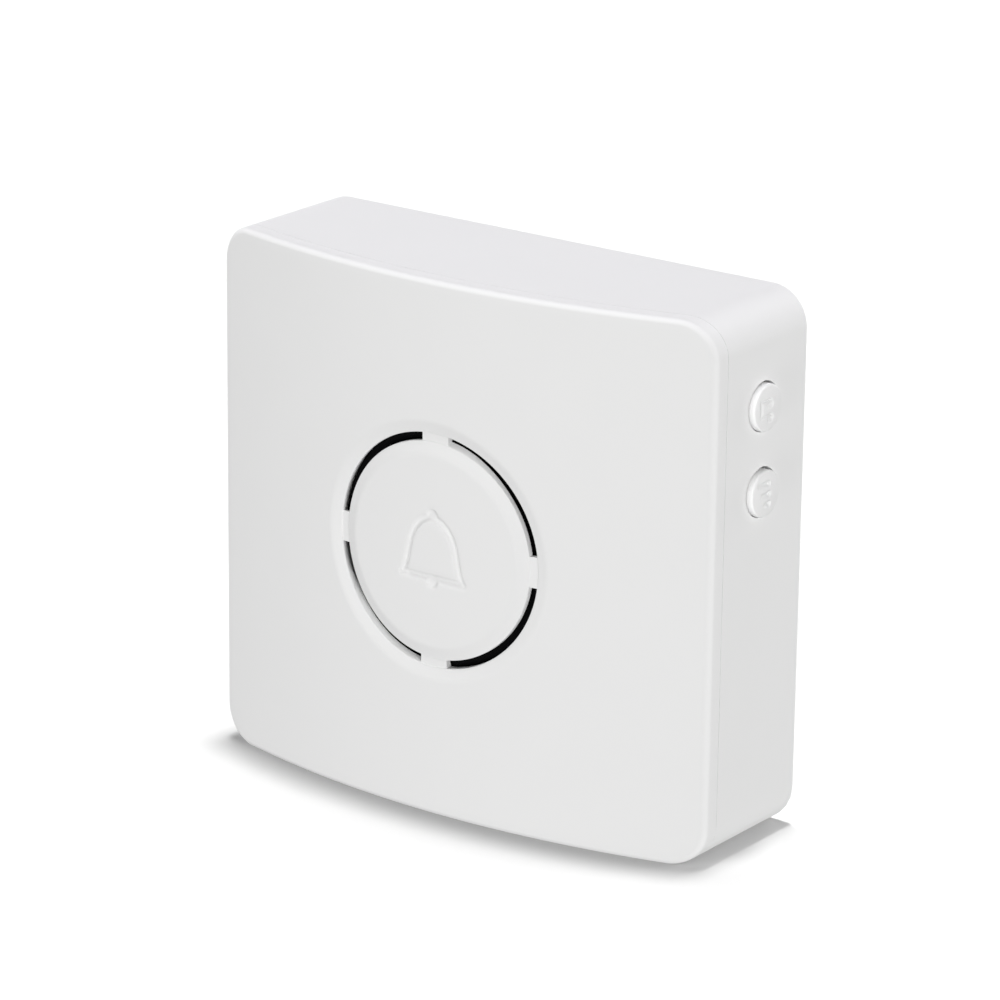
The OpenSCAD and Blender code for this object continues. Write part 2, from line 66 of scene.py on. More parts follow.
def front(x):
    """Depth of the bulged front surface at x."""
    return YF + R_FRONT - np.sqrt(R_FRONT**2 - np.square(x))


# ---- mesh helpers -------------------------------------------------------------
def new_object(name, verts, faces):
    me = bpy.data.meshes.new(name)
    me.from_pydata((np.asarray(verts, float) * MM).tolist(), [], [list(map(int, f)) for f in faces])
    me.update()
    ob = bpy.data.objects.new(name, me)
    scene.collection.objects.link(ob)
    bm = bmesh.new()
    bm.from_mesh(me)
    bmesh.ops.recalc_face_normals(bm, faces=bm.faces)
    bm.to_mesh(me)
    bm.free()
    return ob


class Build:
    """Collects rings of points and the faces between them."""

    def __init__(self):
        self.v, self.f, self.n = [], [], 0

    def add(self, pts):
        pts = np.asarray(pts, float).reshape(-1, 3)
        idx = np.arange(self.n, self.n + len(pts))
        self.v.append(pts)
        self.n += len(pts)
        return idx

    def strip(self, a, b, skip=None):
        m = len(a)
        for i in range(m):
            if skip is None or not skip[i]:
                j = (i + 1) % m
                self.f.append((a[i], a[j], b[j], b[i]))

    def cap(self, a):
        self.f.append(tuple(a))

    def verts(self):
        return np.concatenate(self.v)


def loft(name, rings, caps=True):
    """Closed solid through rings of equal length."""
    b = Build()
    idx = [b.add(r) for r in rings]
    for p, q in zip(idx, idx[1:]):
        b.strip(p, q)
    if caps:
        b.cap(idx[0])
        b.cap(idx[-1])
    return new_object(name, b.verts(), b.f)


def lathe(name, profile, axis, centre, n=64):
    """Turns (radius, position) pairs about an axis 'x' or 'y' through centre; end radii of 0 close to one point."""
    b = Build()
    th = np.linspace(0, 2 * np.pi, n, endpoint=False)
    c, s = np.cos(th), np.sin(th)
    rows = []
    for r, t in profile:
        one = r < 1e-6
        cc, ss = (c[:1] * 0, s[:1] * 0) if one else (c * r, s * r)
        if axis == "x":
            pts = np.stack([np.full_like(cc, t), centre[1] + cc, centre[2] + ss], 1)
        else:
            pts = np.stack([centre[0] + cc, np.full_like(cc, t), centre[2] + ss], 1)
        rows.append(b.add(pts))
    for p, q in zip(rows, rows[1:]):
        if len(p) == 1 and len(q) > 1:
            b.f += [(p[0], q[(i + 1) % n], q[i]) for i in range(n)]
        elif len(q) == 1 and len(p) > 1:
            b.f += [(p[i], p[(i + 1) % n], q[0]) for i in range(n)]
        else:
            b.strip(p, q)
    for end in (rows[0], rows[-1]):
        if len(end) > 1:
            b.cap(end)
    return new_object(name, b.verts(), b.f)


def rbox(name, x, y, z, r=0.3, seg=3):
    """Box with rounded edges."""
    bm = bmesh.new()
    bmesh.ops.create_cube(bm, size=1.0)
    for v in bm.verts:
        v.co = Vector((
            (x[0] + x[1]) / 2 + v.co.x * (x[1] - x[0]),
            (y[0] + y[1]) / 2 + v.co.y * (y[1] - y[0]),
            (z[0] + z[1]) / 2 + v.co.z * (z[1] - z[0]),
        )) * MM
    if r > 0:
        bmesh.ops.bevel(bm, geom=list(bm.edges), offset=r * MM, offset_type="OFFSET", segments=seg, profile=0.5,
                        affect="EDGES", clamp_overlap=True)
    bmesh.ops.recalc_face_normals(bm, faces=bm.faces)
    me = bpy.data.meshes.new(name)
    bm.to_mesh(me)
    bm.free()
    ob = bpy.data.objects.new(name, me)
    scene.collection.objects.link(ob)
    return ob


def outward(poly):
    """Unit normals of a closed anticlockwise outline, scaled so that a step moves each edge by that step."""
    p = np.asarray(poly, float)
    e1 = p - np.roll(p, 1, 0)
    e2 = np.roll(p, -1, 0) - p
    n1 = np.stack([e1[:, 1], -e1[:, 0]], 1) / np.linalg.norm(e1, axis=1)[:, None]
    n2 = np.stack([e2[:, 1], -e2[:, 0]], 1) / np.linalg.norm(e2, axis=1)[:, None]
    m = n1 + n2
    m /= np.linalg.norm(m, axis=1)[:, None]
    return m / np.clip((m * n1).sum(1), 0.35, 1)[:, None]


def arc(cx, cz, r, a0, a1, n):
    a = np.radians(np.linspace(a0, a1, n))
    return np.stack([cx + r * np.cos(a), cz + r * np.sin(a)], 1)


def rounded_rect(x0, x1, z0, z1, r, n=6):
    return np.concatenate([
        arc(x1 - r, z0 + r, r, -90, 0, n), arc(x1 - r, z1 - r, r, 0, 90, n),
        arc(x0 + r, z1 - r, r, 90, 180, n), arc(x0 + r, z0 + r, r, 180, 270, n)])


def place(axis, uv, t):
    """Outline (u, v) at position t: axis 'y' takes (x, z), axis 'x' takes (y, z)."""
    t = np.broadcast_to(t, len(uv)).astype(float)
    return np.stack([uv[:, 0], t, uv[:, 1]], 1) if axis == "y" else np.stack([t, uv[:, 0], uv[:, 1]], 1)


def cutter(name, axis, poly, bottom, face, flare=0.2, floor_r=0.0, steps=4):
    """Tool that sinks an outline from a face down to bottom, with a rounded lip at the face and a rounded floor."""
    n = outward(poly)
    up = 1 if face > bottom else -1
    rings = []
    if floor_r:
        for a in np.linspace(0, math.pi / 2, steps + 1):
            rings.append(place(axis, poly - n * floor_r * (1 - math.sin(a)), bottom + up * floor_r * (1 - math.cos(a))))
    else:
        rings.append(place(axis, poly, bottom))
    for a in np.linspace(0, math.pi / 2, steps + 1):
        rings.append(place(axis, poly + n * flare * (1 - math.cos(a)), face - up * flare * (1 - math.sin(a))))
    rings.append(place(axis, poly + n * flare, face + up * 1.0))
    return loft(name, rings)


def prism(name, axis, poly, t0, t1, r=0.15, steps=3):
    """Outline run from t0 to t1 with rounded end edges."""
    n = outward(poly)
    ang = np.linspace(0, math.pi / 2, steps + 1)
    rings = [place(axis, poly - n * r * (1 - math.sin(a)), t0 + r * (1 - math.cos(a))) for a in ang]
    rings += [place(axis, poly - n * r * (1 - math.sin(a)), t1 - r * (1 - math.cos(a))) for a in ang[::-1]]
    return loft(name, rings)


def bake(ob):
    """Replaces the object's mesh by its evaluated one and drops its modifiers."""
    dg = bpy.context.evaluated_depsgraph_get()
    me = bpy.data.meshes.new_from_object(ob.evaluated_get(dg))
    old = ob.data
    ob.modifiers.clear()
    ob.data = me
    me.name = ob.name
    bpy.data.meshes.remove(old)


def combine(ob, tools, operation):
    for t in tools:
        m = ob.modifiers.new("join", "BOOLEAN")
        m.operation, m.object, m.solver = operation, t, "MANIFOLD"
        bake(ob)
        me = t.data
        bpy.data.objects.remove(t)
        bpy.data.meshes.remove(me)
    bm = bmesh.new()
    bm.from_mesh(ob.data)
    bmesh.ops.remove_doubles(bm, verts=bm.verts[:], dist=2e-7)
    bmesh.ops.dissolve_degenerate(bm, dist=2e-7, edges=bm.edges[:])
    bm.to_mesh(ob.data)
    bm.free()
    return ob


def shade(ob, angle=32, weighted=True):
    me = ob.data
    me.polygons.foreach_set("use_smooth", [True] * len(me.polygons))
    me.set_sharp_from_angle(angle=math.radians(angle))
    if weighted:
        m = ob.modifiers.new("even_normals", "WEIGHTED_NORMAL")
        m.mode, m.weight, m.keep_sharp = "FACE_AREA", 60, True
    me.update()


def finish_piece(ob, body, replaces=(), mats=()):
    if mats:
        ob.data.materials.clear()
        for m in mats:
            ob.data.materials.append(m)
        ob.data.polygons.foreach_set("material_index", [0] * len(ob.data.polygons))
    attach(ob, body)
    if replaces:
        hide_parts(*replaces)
    return ob


# ---- materials ------------------------------------------------------------------
class Mat:
    """A small node material: mottled colour, mottled roughness and a fine grain."""

    def __init__(self, name, base, spread=0.03, spread_scale=0.12, rough=(0.4, 0.5), rough_scale=0.6,
                 grain=0.004, grain_scale=6.0, metallic=0.0, specular=0.5, detail=3.0):
        self.m = bpy.data.materials.new(name)
        self.m.use_nodes = True
        self.m.diffuse_color = (*base, 1)
        nt = self.nt = self.m.node_tree
        nt.nodes.clear()
        self.out = nt.nodes.new("ShaderNodeOutputMaterial")
        self.bsdf = nt.nodes.new("ShaderNodeBsdfPrincipled")
        nt.links.new(self.bsdf.outputs[0], self.out.inputs[0])
        self.bsdf.inputs["Metallic"].default_value = metallic
        self.bsdf.inputs["Specular IOR Level"].default_value = specular
        tc = nt.nodes.new("ShaderNodeTexCoord")
        sc = nt.nodes.new("ShaderNodeVectorMath")
        sc.operation = "SCALE"
        sc.inputs["Scale"].default_value = 1000.0
        nt.links.new(tc.outputs["Object"], sc.inputs[0])
        self.co = sc.outputs[0]
        lo = tuple(max(0.0, c * (1 - spread)) for c in base)
        hi = tuple(min(1.0, c * (1 + spread)) for c in base)
        self.colour = self.mix(self.noise(spread_scale, detail), lo, hi)
        nt.links.new(self.colour, self.bsdf.inputs["Base Color"])
        nt.links.new(self.ramp(self.noise(rough_scale, 2.0), *rough), self.bsdf.inputs["Roughness"])
        self.height = self.noise(grain_scale, 2.0)
        self.bump(self.height, grain)

    def noise(self, scale, detail=2.0, co=None):
        n = self.nt.nodes.new("ShaderNodeTexNoise")
        n.inputs["Scale"].default_value = scale
        n.inputs["Detail"].default_value = detail
        self.nt.links.new(co or self.co, n.inputs["Vector"])
        return n.outputs["Fac"]

    def stretched(self, x, y, z):
        n = self.nt.nodes.new("ShaderNodeVectorMath")
        n.operation = "MULTIPLY"
        n.inputs[1].default_value = (x, y, z)
        self.nt.links.new(self.co, n.inputs[0])
        return n.outputs[0]

    def ramp(self, fac, lo, hi, f0=0.3, f1=0.7):
        n = self.nt.nodes.new("ShaderNodeMapRange")
        n.inputs["From Min"].default_value, n.inputs["From Max"].default_value = f0, f1
        n.inputs["To Min"].default_value, n.inputs["To Max"].default_value = lo, hi
        self.nt.links.new(fac, n.inputs["Value"])
        return n.outputs[0]

    def mix(self, fac, a, b):
        n = self.nt.nodes.new("ShaderNodeMix")
        n.data_type = "RGBA"
        self.nt.links.new(fac, n.inputs["Factor"])
        for socket, value in ((n.inputs[6], a), (n.inputs[7], b)):
            if isinstance(value, tuple):
                socket.default_value = (*value, 1)
            else:
                self.nt.links.new(value, socket)
        return n.outputs[2]

    def math(self, op, a, b=None):
        n = self.nt.nodes.new("ShaderNodeMath")
        n.operation = op
        for i, value in enumerate((a, b)):
            if value is None:
                continue
            if isinstance(value, (int, float)):
                n.inputs[i].default_value = value
            else:
                self.nt.links.new(value, n.inputs[i])
        return n.outputs[0]

    def axis(self, k):
        n = self.nt.nodes.new("ShaderNodeSeparateXYZ")
        self.nt.links.new(self.co, n.inputs[0])
        return n.outputs[k]

    def bump(self, height, depth_mm):
        old = self.bsdf.inputs["Normal"].links
        n = self.nt.nodes.new("ShaderNodeBump")
        n.inputs["Strength"].default_value = 1.0
        n.inputs["Distance"].default_value = depth_mm * MM
        self.nt.links.new(height, n.inputs["Height"])
        if old:
            self.nt.links.new(old[0].from_socket, n.inputs["Normal"])
        self.nt.links.new(n.outputs[0], self.bsdf.inputs["Normal"])

    def paint(self, colour):
        self.nt.links.new(colour, self.bsdf.inputs["Base Color"])
        self.colour = colour


WHITE = (0.80, 0.80, 0.798)
case_white = Mat("case_white", WHITE, spread=0.008, spread_scale=0.09, rough=(0.72, 0.82), rough_scale=0.35,
                 grain=0.0016, grain_scale=5.0, specular=0.04).m
button_white = Mat("button_white", WHITE, spread=0.008, spread_scale=0.25, rough=(0.66, 0.76), rough_scale=0.6,
                   grain=0.0012, grain_scale=6.0, specular=0.04).m
clamp_white = Mat("clamp_white", (0.62, 0.62, 0.60), spread=0.02, rough=(0.45, 0.55), grain=0.003).m
switch_black = Mat("switch_black", (0.018, 0.018, 0.02), spread=0.25, spread_scale=0.8, rough=(0.45, 0.6), grain=0.004).m
plunger_black = Mat("plunger_black", (0.03, 0.03, 0.033), spread=0.2, spread_scale=0.8, rough=(0.35, 0.5), grain=0.003).m
chip_black = Mat("chip_black", (0.022, 0.022, 0.024), spread=0.25, spread_scale=1.5, rough=(0.5, 0.68), grain=0.006, grain_scale=9).m
gasket_foam = Mat("gasket_foam", (0.03, 0.03, 0.03), spread=0.4, spread_scale=3, rough=(0.85, 0.97), grain=0.05, grain_scale=5, specular=0.25).m
frame_grey = Mat("frame_grey", (0.055, 0.057, 0.06), spread=0.2, spread_scale=0.6, rough=(0.38, 0.55), grain=0.003).m
ferrite = Mat("ferrite", (0.03, 0.03, 0.032), spread=0.3, spread_scale=2, rough=(0.55, 0.75), grain=0.01, grain_scale=7).m
connector_ivory = Mat("connector_ivory", (0.72, 0.68, 0.58), spread=0.03, spread_scale=0.5, rough=(0.4, 0.52), grain=0.003).m
tag_board = Mat("tag_board", (0.2, 0.12, 0.055), spread=0.2, spread_scale=1.2, rough=(0.55, 0.7), grain=0.008).m
capacitor_sleeve = Mat("capacitor_sleeve", (0.02, 0.025, 0.09), spread=0.15, spread_scale=1, rough=(0.25, 0.36), grain=0.003).m
copper = Mat("copper", (0.72, 0.36, 0.19), spread=0.12, spread_scale=1.4, rough=(0.22, 0.36), grain=0.002, metallic=1.0).m
wire_red = Mat("wire_red", (0.42, 0.02, 0.016), spread=0.12, spread_scale=0.8, rough=(0.34, 0.46), grain=0.003).m
wire_black = Mat("wire_black", (0.015, 0.015, 0.016), spread=0.3, spread_scale=0.8, rough=(0.36, 0.5), grain=0.003).m


def brushed(name, base, along, rough):
    """Metal with fine drawing lines along one axis."""
    k = Mat(name, base, spread=0.06, spread_scale=0.5, rough=rough, rough_scale=1.2, grain=0.0015, grain_scale=8, metallic=1.0)
    lines = k.noise(7.0, 3.0, k.stretched(*[0.06 if i == along else 1.0 for i in range(3)]))
    k.bump(lines, 0.003)
    return k.m


steel = brushed("steel", (0.56, 0.57, 0.58), 1, (0.25, 0.38))
spring_steel = brushed("spring_steel", (0.62, 0.63, 0.64), 0, (0.16, 0.28))
can_steel = brushed("can_steel", (0.66, 0.66, 0.64), 2, (0.2, 0.32))


def woven(name, base, pitch):
    """Black acoustic cloth: two sets of threads crossing over and under."""
    k = Mat(name, base, spread=0.35, spread_scale=0.7, rough=(0.85, 0.97), grain=0.003, specular=0.05)
    a = k.math("SINE", k.math("MULTIPLY", k.axis(0), 2 * math.pi / pitch))
    b = k.math("SINE", k.math("MULTIPLY", k.axis(2), 2 * math.pi / pitch))
    weave = k.math("MULTIPLY", a, b)
    k.paint(k.mix(k.ramp(weave, 0, 1, -1, 1), tuple(c * 0.5 for c in base), tuple(c * 1.5 for c in base)))
    k.bump(weave, 0.04)
    return k.m


cloth_black = woven("cloth_black", (0.003, 0.003, 0.0033), 0.5)


def cone_material():
    """Pressed paper: fibres and faint rings."""
    k = Mat("cone_paper", (0.018, 0.018, 0.02), spread=0.4, spread_scale=1.6, rough=(0.75, 0.92), grain=0.03, grain_scale=3, specular=0.3)
    x, z = k.axis(0), k.math("SUBTRACT", k.axis(2), ZC)
    r = k.math("SQRT", k.math("ADD", k.math("MULTIPLY", x, x), k.math("MULTIPLY", z, z)))
    k.bump(k.math("SINE", k.math("MULTIPLY", r, 9.0)), 0.02)
    return k.m


def board_material(name, base):
    """Solder mask with tracks showing through as paler, slightly raised lines."""
    k = Mat(name, base, spread=0.1, spread_scale=0.5, rough=(0.28, 0.4), grain=0.003)
    tracks = k.nt.nodes.new("ShaderNodeTexVoronoi")
    tracks.feature = "DISTANCE_TO_EDGE"
    tracks.inputs["Scale"].default_value = 0.38
    k.nt.links.new(k.stretched(1.0, 0.0, 0.55), tracks.inputs["Vector"])
    line = k.ramp(tracks.outputs["Distance"], 1.0, 0.0, 0.03, 0.06)
    k.paint(k.mix(line, k.colour, tuple(min(1, c * 2.0 + 0.01) for c in base)))
    k.bump(line, 0.03)
    return k.m


def cell_material():
    """Printed jacket: dark body, pale band towards the positive end and a thin line beside it. Cells lie along X."""
    k = Mat("cell_jacket", (0.035, 0.05, 0.085), spread=0.08, spread_scale=0.4, rough=(0.24, 0.34), grain=0.002)
    x, z = k.axis(0), k.axis(2)
    # the middle cell lies the other way round
    middle = k.math("LESS_THAN", k.math("ABSOLUTE", k.math("SUBTRACT", z, 40.0)), 7.5)
    flip = k.math("SUBTRACT", 1.0, k.math("MULTIPLY", middle, 2.0))
    along = k.math("MULTIPLY", k.math("SUBTRACT", x, BAY_MID), flip)
    band = k.math("GREATER_THAN", along, 14.5)
    line = k.math("LESS_THAN", k.math("ABSOLUTE", k.math("SUBTRACT", along, 12.6)), 0.45)
    pale = k.math("MAXIMUM", band, line)
    k.paint(k.mix(pale, k.colour, (0.55, 0.57, 0.58)))
    return k.m


cone_paper = cone_material()
board_green = board_material("board_green", (0.012, 0.09, 0.045))
radio_green = board_material("radio_green", (0.014, 0.07, 0.05))
cell_jacket = cell_material()


# ---- outlines -------------------------------------------------------------------
def outline(theta):
    """Points where rays from the middle meet the rounded front-view outline, and the outline's normals there."""
    c, s = np.cos(theta), np.sin(theta)
    ac, az = np.abs(c) + 1e-12, np.abs(s) + 1e-12
    hw, hh, r = W / 2, H / 2, CORNER
    cx, cz = hw - r, hh - r
    on_side = hw / ac * az <= cz
    on_top = ~on_side & (hh / az * ac <= cx)
    bb = ac * cx + az * cz
    t = np.where(on_side, hw / ac, np.where(on_top, hh / az, bb + np.sqrt(np.maximum(bb * bb - cx * cx - cz * cz + r * r, 0))))
    p = np.stack([t * c, t * s], 1)
    corner = np.stack([(t * ac - cx) * np.sign(c), (t * az - cz) * np.sign(s)], 1) / r
    n = np.where(on_side[:, None], np.stack([np.sign(c), 0 * c], 1), np.where(on_top[:, None], np.stack([0 * c, np.sign(s)], 1), corner))
    return p, n


def at_depth(p, shift):
    """Front-view points on the front surface moved back by shift."""
    return np.stack([p[:, 0], front(p[:, 0]) + shift, ZC + p[:, 1]], 1)


def at_y(p, y):
    return np.stack([p[:, 0], np.full(len(p), float(y)), ZC + p[:, 1]], 1)


# ---- engraved bell --------------------------------------------------------------
BELL_LINE, BELL_DEEP = 1.3, 0.42


def bell_width(z):
    dome = 5.05 * np.sqrt(np.maximum(0, 1 - ((z + 1) / 6.9) ** 2))
    skirt = np.minimum(6.3, 4.787 + 0.2 * (1.2 - z) + 0.47 * np.exp(-(z + 3.95) / 0.75))
    return np.where(z > 1.2, dome, skirt)


def bell_outline():
    """Right half from the base's middle up to the top, then mirrored."""
    rim = arc(5.55, -4.05, 0.75, -90, 0, 10)
    z = np.concatenate([np.linspace(-4.0, 1.2, 40)[1:], 1.2 + 4.7 * np.sin(np.linspace(0, np.pi / 2, 60))[1:]])
    side = np.stack([bell_width(z), z], 1)
    half = np.concatenate([rim, side])
    half[-1, 0] = 0.0
    return np.concatenate([half, half[-2::-1] * (-1, 1)])


def signed_distance(poly, px, pz):
    """Distance inside a closed outline, negative outside."""
    best = np.full(px.shape, 1e9)
    inside = np.zeros(px.shape, bool)
    for (ax, az), (bx, bz) in zip(poly, np.roll(poly, -1, 0)):
        dx, dz = bx - ax, bz - az
        ll = dx * dx + dz * dz
        if ll < 1e-14:
            continue
        t = np.clip(((px - ax) * dx + (pz - az) * dz) / ll, 0, 1)
        best = np.minimum(best, (px - ax - t * dx) ** 2 + (pz - az - t * dz) ** 2)
        if dz != 0:
            cross = (az > pz) != (bz > pz)
            inside ^= cross & (px < ax + (pz - az) * dx / dz)
    return np.where(inside, 1, -1) * np.sqrt(best)


def soft_max(a, b, k=0.2):
    h = np.maximum(k - np.abs(a - b), 0) / k
    return np.maximum(a, b) + h * h * k / 4


def bell_field(px, pz):
    """How far inside the engraved line a point of the disc lies, negative outside it."""
    d = signed_distance(bell_outline(), px, pz)
    band = np.minimum(d, BELL_LINE - d)
    knob = np.minimum(1.2 - np.hypot(px, pz - 5.5), pz - 4.95)
    clapper = 1.2 - np.hypot(px, pz + 4.65)
    return soft_max(soft_max(band, knob), clapper)


def bell_depth(s):
    t = np.clip((s + 0.1) / 0.65, 0, 1)
    return BELL_DEEP * t * t * (3 - 2 * t)


def iso_loops(f, x, z, level):
    """Closed lines where the sampled field f[z, x] crosses a level."""
    g = f - level
    g = np.where(np.abs(g) < 1e-9, 1e-9, g)
    pos = g > 0
    mixed = (pos[:-1, :-1] != pos[1:, 1:]) | (pos[:-1, 1:] != pos[1:, :-1]) | (pos[:-1, :-1] != pos[:-1, 1:])
    point, links = {}, {}

    def crossing(key):
        kind, i, j = key
        a = g[j, i]
        bq = g[j, i + 1] if kind == 0 else g[j + 1, i]
        t = a / (a - bq)
        return (x[i] + t * (x[i + 1] - x[i]), z[j]) if kind == 0 else (x[i], z[j] + t * (z[j + 1] - z[j]))

    for j, i in np.argwhere(mixed):
        p = [pos[j, i], pos[j, i + 1], pos[j + 1, i + 1], pos[j + 1, i]]
        edges = [(0, i, j), (1, i + 1, j), (0, i, j + 1), (1, i, j)]
        hit = [e for e, (a, b) in zip(edges, ((0, 1), (1, 2), (3, 2), (0, 3))) if p[a] != p[b]]
        pairs = [(hit[0], hit[1])] if len(hit) == 2 else [(edges[0], edges[3]), (edges[1], edges[2])]
        for a, b in pairs:
            for q in (a, b):
                point.setdefault(q, crossing(q))
            links.setdefault(a, []).append(b)
            links.setdefault(b, []).append(a)
    loops, seen = [], set()
    for start in sorted(links):
        if start in seen:
            continue
        path, prev, here = [], None, start
        while here is not None and here not in seen:
            seen.add(here)
            path.append(point[here])
            ahead = [q for q in links[here] if q != prev and q not in seen]
            prev, here = here, (ahead[0] if ahead else None)
        if len(path) > 8:
            loops.append(np.array(path))
    return loops


def resample(loop, step):
    p = np.vstack([loop, loop[:1]])
    s = np.concatenate([[0], np.cumsum(np.hypot(*np.diff(p, axis=0).T))])
    m = max(12, int(round(s[-1] / step)))
    t = np.linspace(0, s[-1], m, endpoint=False)
    return np.stack([np.interp(t, s, p[:, 0]), np.interp(t, s, p[:, 1])], 1)


def patch(b, ring, ring_xz, loops, fill, surface):
    """Fills the inside of a ring with triangles that follow the given loops."""
    pts = [tuple(p) for p in ring_xz]
    edges = [(i, (i + 1) % len(pts)) for i in range(len(pts))]
    for lp in loops:
        k = len(pts)
        pts += [tuple(p) for p in lp]
        edges += [(k + i, k + (i + 1) % len(lp)) for i in range(len(lp))]
    pts += [tuple(p) for p in fill]
    v, _, f, origin, _, _ = delaunay_2d_cdt([Vector(p) for p in pts], edges, [], 0, 1e-7)
    index = np.full(len(v), -1)
    inner = []
    for i, o in enumerate(origin):
        on_ring = [k for k in o if k < len(ring)]
        if on_ring:
            index[i] = ring[on_ring[0]]
        else:
            inner.append(i)
    index[inner] = b.add(surface(np.array([v[i][:] for i in inner])))
    b.f += [tuple(index[list(t)]) for t in f]


def hex_fill(radius, step):
    rows = int(radius / (step * 0.866)) + 1
    out = []
    for j in range(-rows, rows + 1):
        off = 0.5 * step * (j % 2)
        for i in range(-rows - 1, rows + 2):
            p = (i * step + off, j * step * 0.866)
            if math.hypot(*p) < radius:
                out.append(p)
    return np.array(out)


# ---- front cover ------------------------------------------------------------------
def front_cover():
    """Bulged plate with the slotted ring, the engraved bell, a rounded front edge, the seam edge, the locating lip,
    the speaker collar and the screw posts."""
    b = Build()
    end = 7.8
    quarter = np.concatenate([np.linspace(a0, a1, m, endpoint=False) for a0, a1, m in
                              ((0, end, 8), (end, 38, 34), (38, 47.2, 30), (47.2, 90 - end, 38), (90 - end, 90, 8))])
    nq = len(quarter)
    base = np.radians(np.concatenate([quarter + 90 * q for q in range(4)]))
    i_lo, i_hi = 8, nq - 8
    total = 4 * nq

    def angles(r):
        e = math.degrees(math.asin(BRIDGE / 2 / min(max(r, 16.0), 20.0)))
        q = np.interp(quarter, [0, end, 90 - end, 90], [0, e, 90 - e, 90])
        return np.radians(np.concatenate([q + 90 * k for k in range(4)]))

    def circle(r):
        a = angles(r)
        return np.stack([r * np.cos(a), r * np.sin(a)], 1)

    slot = np.zeros(total, bool)
    for q in range(4):
        slot[q * nq + i_lo:q * nq + i_hi] = True

    # middle of the disc with the bell
    r0 = 9.6
    first = b.add(at_depth(circle(r0), 0.0))
    gx, gz = np.arange(-8.2, 8.21, 0.05), np.arange(-7.4, 8.21, 0.05)
    field = bell_field(*np.meshgrid(gx, gz))
    loops = [resample(lp, 0.15) for level in (-0.1, 0.0, 0.11, 0.22, 0.33, 0.44, 0.55) for lp in iso_loops(field, gx, gz, level)]
    fill = hex_fill(r0 - 0.3, 0.62)
    s = bell_field(fill[:, 0], fill[:, 1])
    fill = fill[(s < -0.35) | (s > 0.75)]

    def disc_surface(p):
        out = at_depth(p, 0.0)
        out[:, 1] += bell_depth(bell_field(p[:, 0], p[:, 1]))
        return out

    patch(b, first, circle(r0), loops, fill, disc_surface)

    # disc, its rounded edge, the slots with their bridges, and the dished shoulder outside them
    def slope(u, rise, soft=0.45):
        """Straight slope beginning at u = 0, eased in over the soft distance."""
        return 0.0 if u < -soft else rise * u if u > soft else rise * (u + soft) ** 2 / (4 * soft)

    steps = [(r, 0.0) for r in (10.5, 11.5, 12.5, 13.5, 14.3)]
    steps += [(r, slope(r - DISH_IN, 0.335)) for r in np.concatenate([np.linspace(14.6, 15.6, 9), np.linspace(15.8, 16.92, 6)])]
    steps += [(16.97, 0.645), (SLOT_IN, 0.70)]
    k_in = len(steps) - 1
    steps += [(17.06, 0.715), (17.16, 0.72), (17.65, 0.72), (18.14, 0.72), (18.24, 0.715)]
    steps += [(SLOT_OUT, 0.70)]
    k_out = len(steps) - 1
    steps += [(18.33, 0.645)]
    steps += [(r, slope(DISH_OUT - r, 0.335)) for r in np.concatenate([np.linspace(18.38, 19.5, 6), np.linspace(19.7, 20.65, 9)])]
    steps += [(21.2, 0.0), (22.2, 0.0)]
    rings = [b.add(at_depth(circle(r), d)) for r, d in steps]
    b.strip(first, rings[0])
    for k in range(len(rings) - 1):
        b.strip(rings[k], rings[k + 1], slot if k_in <= k < k_out else None)
    zone_front = rings[k_in:k_out + 1]
    zone_r = [r for r, _ in steps[k_in:k_out + 1]]

    # out to the rounded edge
    p0, nrm = outline(base)
    rf = 0.95
    last, last_p = rings[-1], circle(22.2)
    edge_p = p0 - nrm * rf
    for t in np.linspace(0, 1, 17)[1:]:
        ring = b.add(at_depth(last_p * (1 - t) + edge_p * t, 0.0))
        b.strip(last if t < 0.07 else prev, ring)
        prev = ring
    for a in np.linspace(0, math.pi / 2, 10)[1:]:
        ring = b.add(at_depth(p0 - nrm * rf * (1 - math.sin(a)), rf * (1 - math.cos(a))))
        b.strip(prev, ring)
        prev = ring
    # side band, rounded seam edge, inside of the band, locating lip
    rim, rr = SEAM + 0.075, 0.13
    inside = [(rr * (1 - math.cos(a)), rim - rr + rr * math.sin(a)) for a in np.linspace(0, math.pi / 2, 5)]
    inside += [(WALL, rim), (WALL, PLATE), (2.15, PLATE), (2.15, 4.82), (2.22, 4.95), (2.35, 5.0), (3.15, 5.0), (3.28, 4.95),
               (3.35, 4.82), (3.35, PLATE)]
    for inset, shift in inside:
        ring = b.add(at_depth(p0 - nrm * inset, shift))
        b.strip(prev, ring)
        prev = ring
    # inner face of the plate, the speaker collar and the slots' inner ends
    lip_p, ring_p = p0 - nrm * 3.35, circle(24.0)
    for t in np.linspace(0, 1, 9)[1:]:
        ring = b.add(at_depth(lip_p * (1 - t) + ring_p * t, PLATE))
        b.strip(prev, ring)
        prev = ring
    spk_y, clamp_y = -11.4, -9.9
    for r, y in ((21.8, None), (21.8, clamp_y - 0.15), (21.65, clamp_y), (20.55, clamp_y), (20.4, clamp_y - 0.15), (20.4, spk_y),
                 (18.75, spk_y), (18.6, spk_y - 0.15), (18.6, None)):
        c = circle(r)
        ring = b.add(at_depth(c, PLATE) if y is None else at_y(c, y))
        b.strip(prev, ring)
        prev = ring
    # the disc's wall leans out towards the top, the outer wall leans in towards the bottom and is thin at the left
    deg = np.degrees(base) % 360

    def lean(begin, full, end):
        up, down = np.clip((deg - begin) / (full - begin), 0, 1), np.clip((end + 14 - deg) / 14, 0, 1)
        return up * up * (3 - 2 * up) * down

